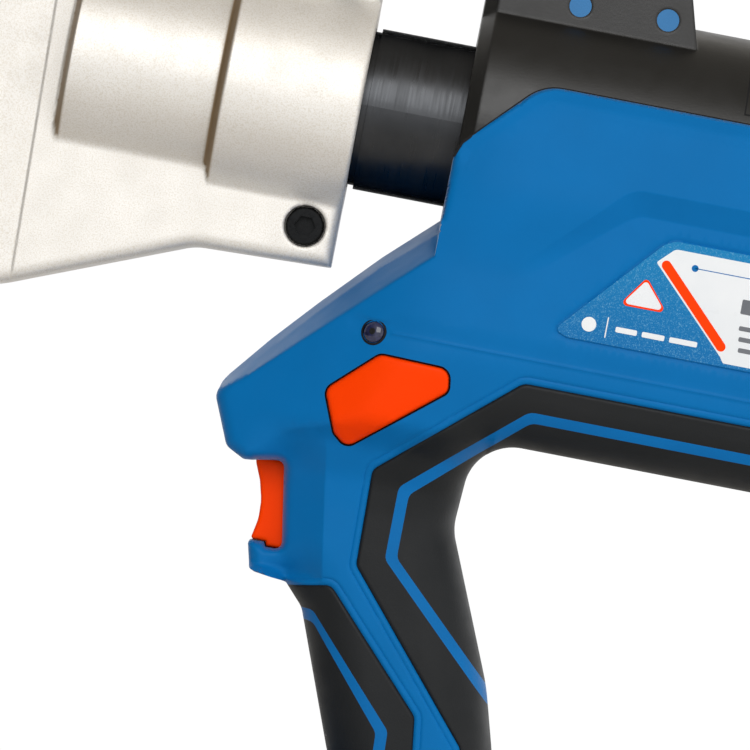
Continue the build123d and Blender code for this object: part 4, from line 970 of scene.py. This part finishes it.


# the painted shade is kept on the casting's points, for its material to darken the plating brown
painted_shade = casting.data.attributes.new("painted_shade", "FLOAT", "POINT")
painted_shade.data.foreach_set("value", painted_shade_values(casting.data).astype(np.float32))


# ---- hatch in the barrel
def barrel_patch(name, back, front, low, high, radius, material):
    """A curved plate on both sides of the barrel."""
    verts, polys = [], []
    for sign in (1, -1):
        for v in np.linspace(low, high, 16):
            for u in (front, back):
                verts.append(place(u, sign * math.sqrt(radius ** 2 - v ** 2), v))
        start = len(verts) - 32
        for k in range(15):
            a = start + 2 * k
            quad = (a, a + 1, a + 3, a + 2)
            polys.append(quad if sign > 0 else quad[::-1])
    fit(make_mesh(name, verts, polys, material))


def border_seam():
    """The dark joint line on the barrel round the body's upper edge."""
    verts, polys = [], []
    for run in RUNS["border"]:
        run = filled(run, False, 0.8)
        run = run[run[:, 0] > -189.5]
        way = np.gradient(run, axis=0)
        out = np.stack([way[:, 1], -way[:, 0]], axis=1) / np.linalg.norm(way, axis=1)[:, None]
        middle = run.mean(0) - (0, 30)
        out *= np.sign(((run - middle) * out).sum(1))[:, None]
        for sign in (1, -1):
            start = len(verts)
            for p, n in zip(run, out):
                for q in (p - 0.3 * n, p + 0.34 * n):
                    verts.append(place(q[0], sign * math.sqrt((BARREL_R + 0.04) ** 2 - q[1] ** 2), q[1]))
            for k in range(len(run) - 1):
                a = start + 2 * k
                polys.append((a, a + 1, a + 3, a + 2))
    fit(make_mesh("border_seam", verts, polys, DARK))


border_seam()
barrel_patch("hatch_seam", -158.3, -96.0, 15.3, 34.0, BARREL_R + 0.03, DARK)
barrel_patch("hatch_cover", -157.9, -96.4, 15.7, 33.7, BARREL_R + 0.06, BLACK)

# ---- floor, light and camera
FLOOR_R, FLOOR_SIDES = 0.7, 96
turns = np.arange(FLOOR_SIDES) * 2 * math.pi / FLOOR_SIDES
disc = [(FLOOR_R * math.cos(a), FLOOR_R * math.sin(a), 0) for a in turns]
make_mesh("floor", disc, [tuple(range(FLOOR_SIDES))], floor_material("pale_floor"))

scene = bpy.context.scene
scene.view_settings.view_transform = "Standard"

# The studio is white behind the object, paler grey elsewhere, and dim in front of the head and above.
# Each factor: a direction, how closely a ray must point that way, and its brightness there.
WALLS = ((0, -1, 0), 0.3, 0.85, 0.64, 1.02)
FACTORS = (((0, 1, 0), 0.2, 0.9, 1.5), ((0.97, 0.24, 0), 0.45, 0.9, 0.15), ((-1, 0, 0), 0.4, 0.9, 1.7),
           ((0, 0, -1), 0.12, 0.6, 1.0), ((0, 0, 1), 0.5, 0.95, 0.6))
world = bpy.data.worlds.new("studio")
world.use_nodes = True
studio = Graph(world.node_tree, "Generated")
strength = studio.toward(*WALLS)
for way, low, high, factor in FACTORS:
    strength = studio.times(strength, studio.toward(way, low, high, 1.0, factor))
overhead = studio.toward((0, 0, 1), 0.3, 0.9, 0, 1)
tint = studio.mix(overhead, (1, 1, 1), (1.0, 0.93, 0.82))
studio.feed(studio.nodes["Background"], {"Strength": strength, "Color": tint})
scene.world = world


def area_light(name, where, target, size, power):
    """A rectangular light at a place, turned to its target."""
    light = bpy.data.lights.new(name, "AREA")
    light.shape = "RECTANGLE"
    light.size, light.size_y = size
    light.energy = power
    lamp = bpy.data.objects.new(name, light)
    lamp.location = where
    lamp.rotation_euler = (Vector(where) - Vector(target)).to_track_quat("Z", "Y").to_euler()
    bpy.context.collection.objects.link(lamp)


area_light("key", (0.02, 1.15, 0.82), place(-15, 20, -40), (0.8, 0.8), 6.8)

# The camera looks square at the tool's left side and leans, so that the barrel drops to the right.
LEAN = math.radians(10.9)
SPAN, SUBJECT_Y, RANGE, SENSOR = 0.1948, 0.025, 1.5, 36
eye = Vector(place(-15.1, 0, -68.6))
eye.y = SUBJECT_Y + RANGE
right = Vector((-math.cos(LEAN), 0, math.sin(LEAN)))
up = Vector((math.sin(LEAN), 0, math.cos(LEAN)))
back = Vector((0, 1, 0))
camera_data = bpy.data.cameras.new("camera")
camera_data.sensor_width = SENSOR
camera_data.lens = SENSOR * RANGE / SPAN
camera = bpy.data.objects.new("camera", camera_data)
camera.matrix_world = Matrix.Translation(eye) @ Matrix((right, up, back)).transposed().to_4x4()
bpy.context.collection.objects.link(camera)
scene.camera = camera
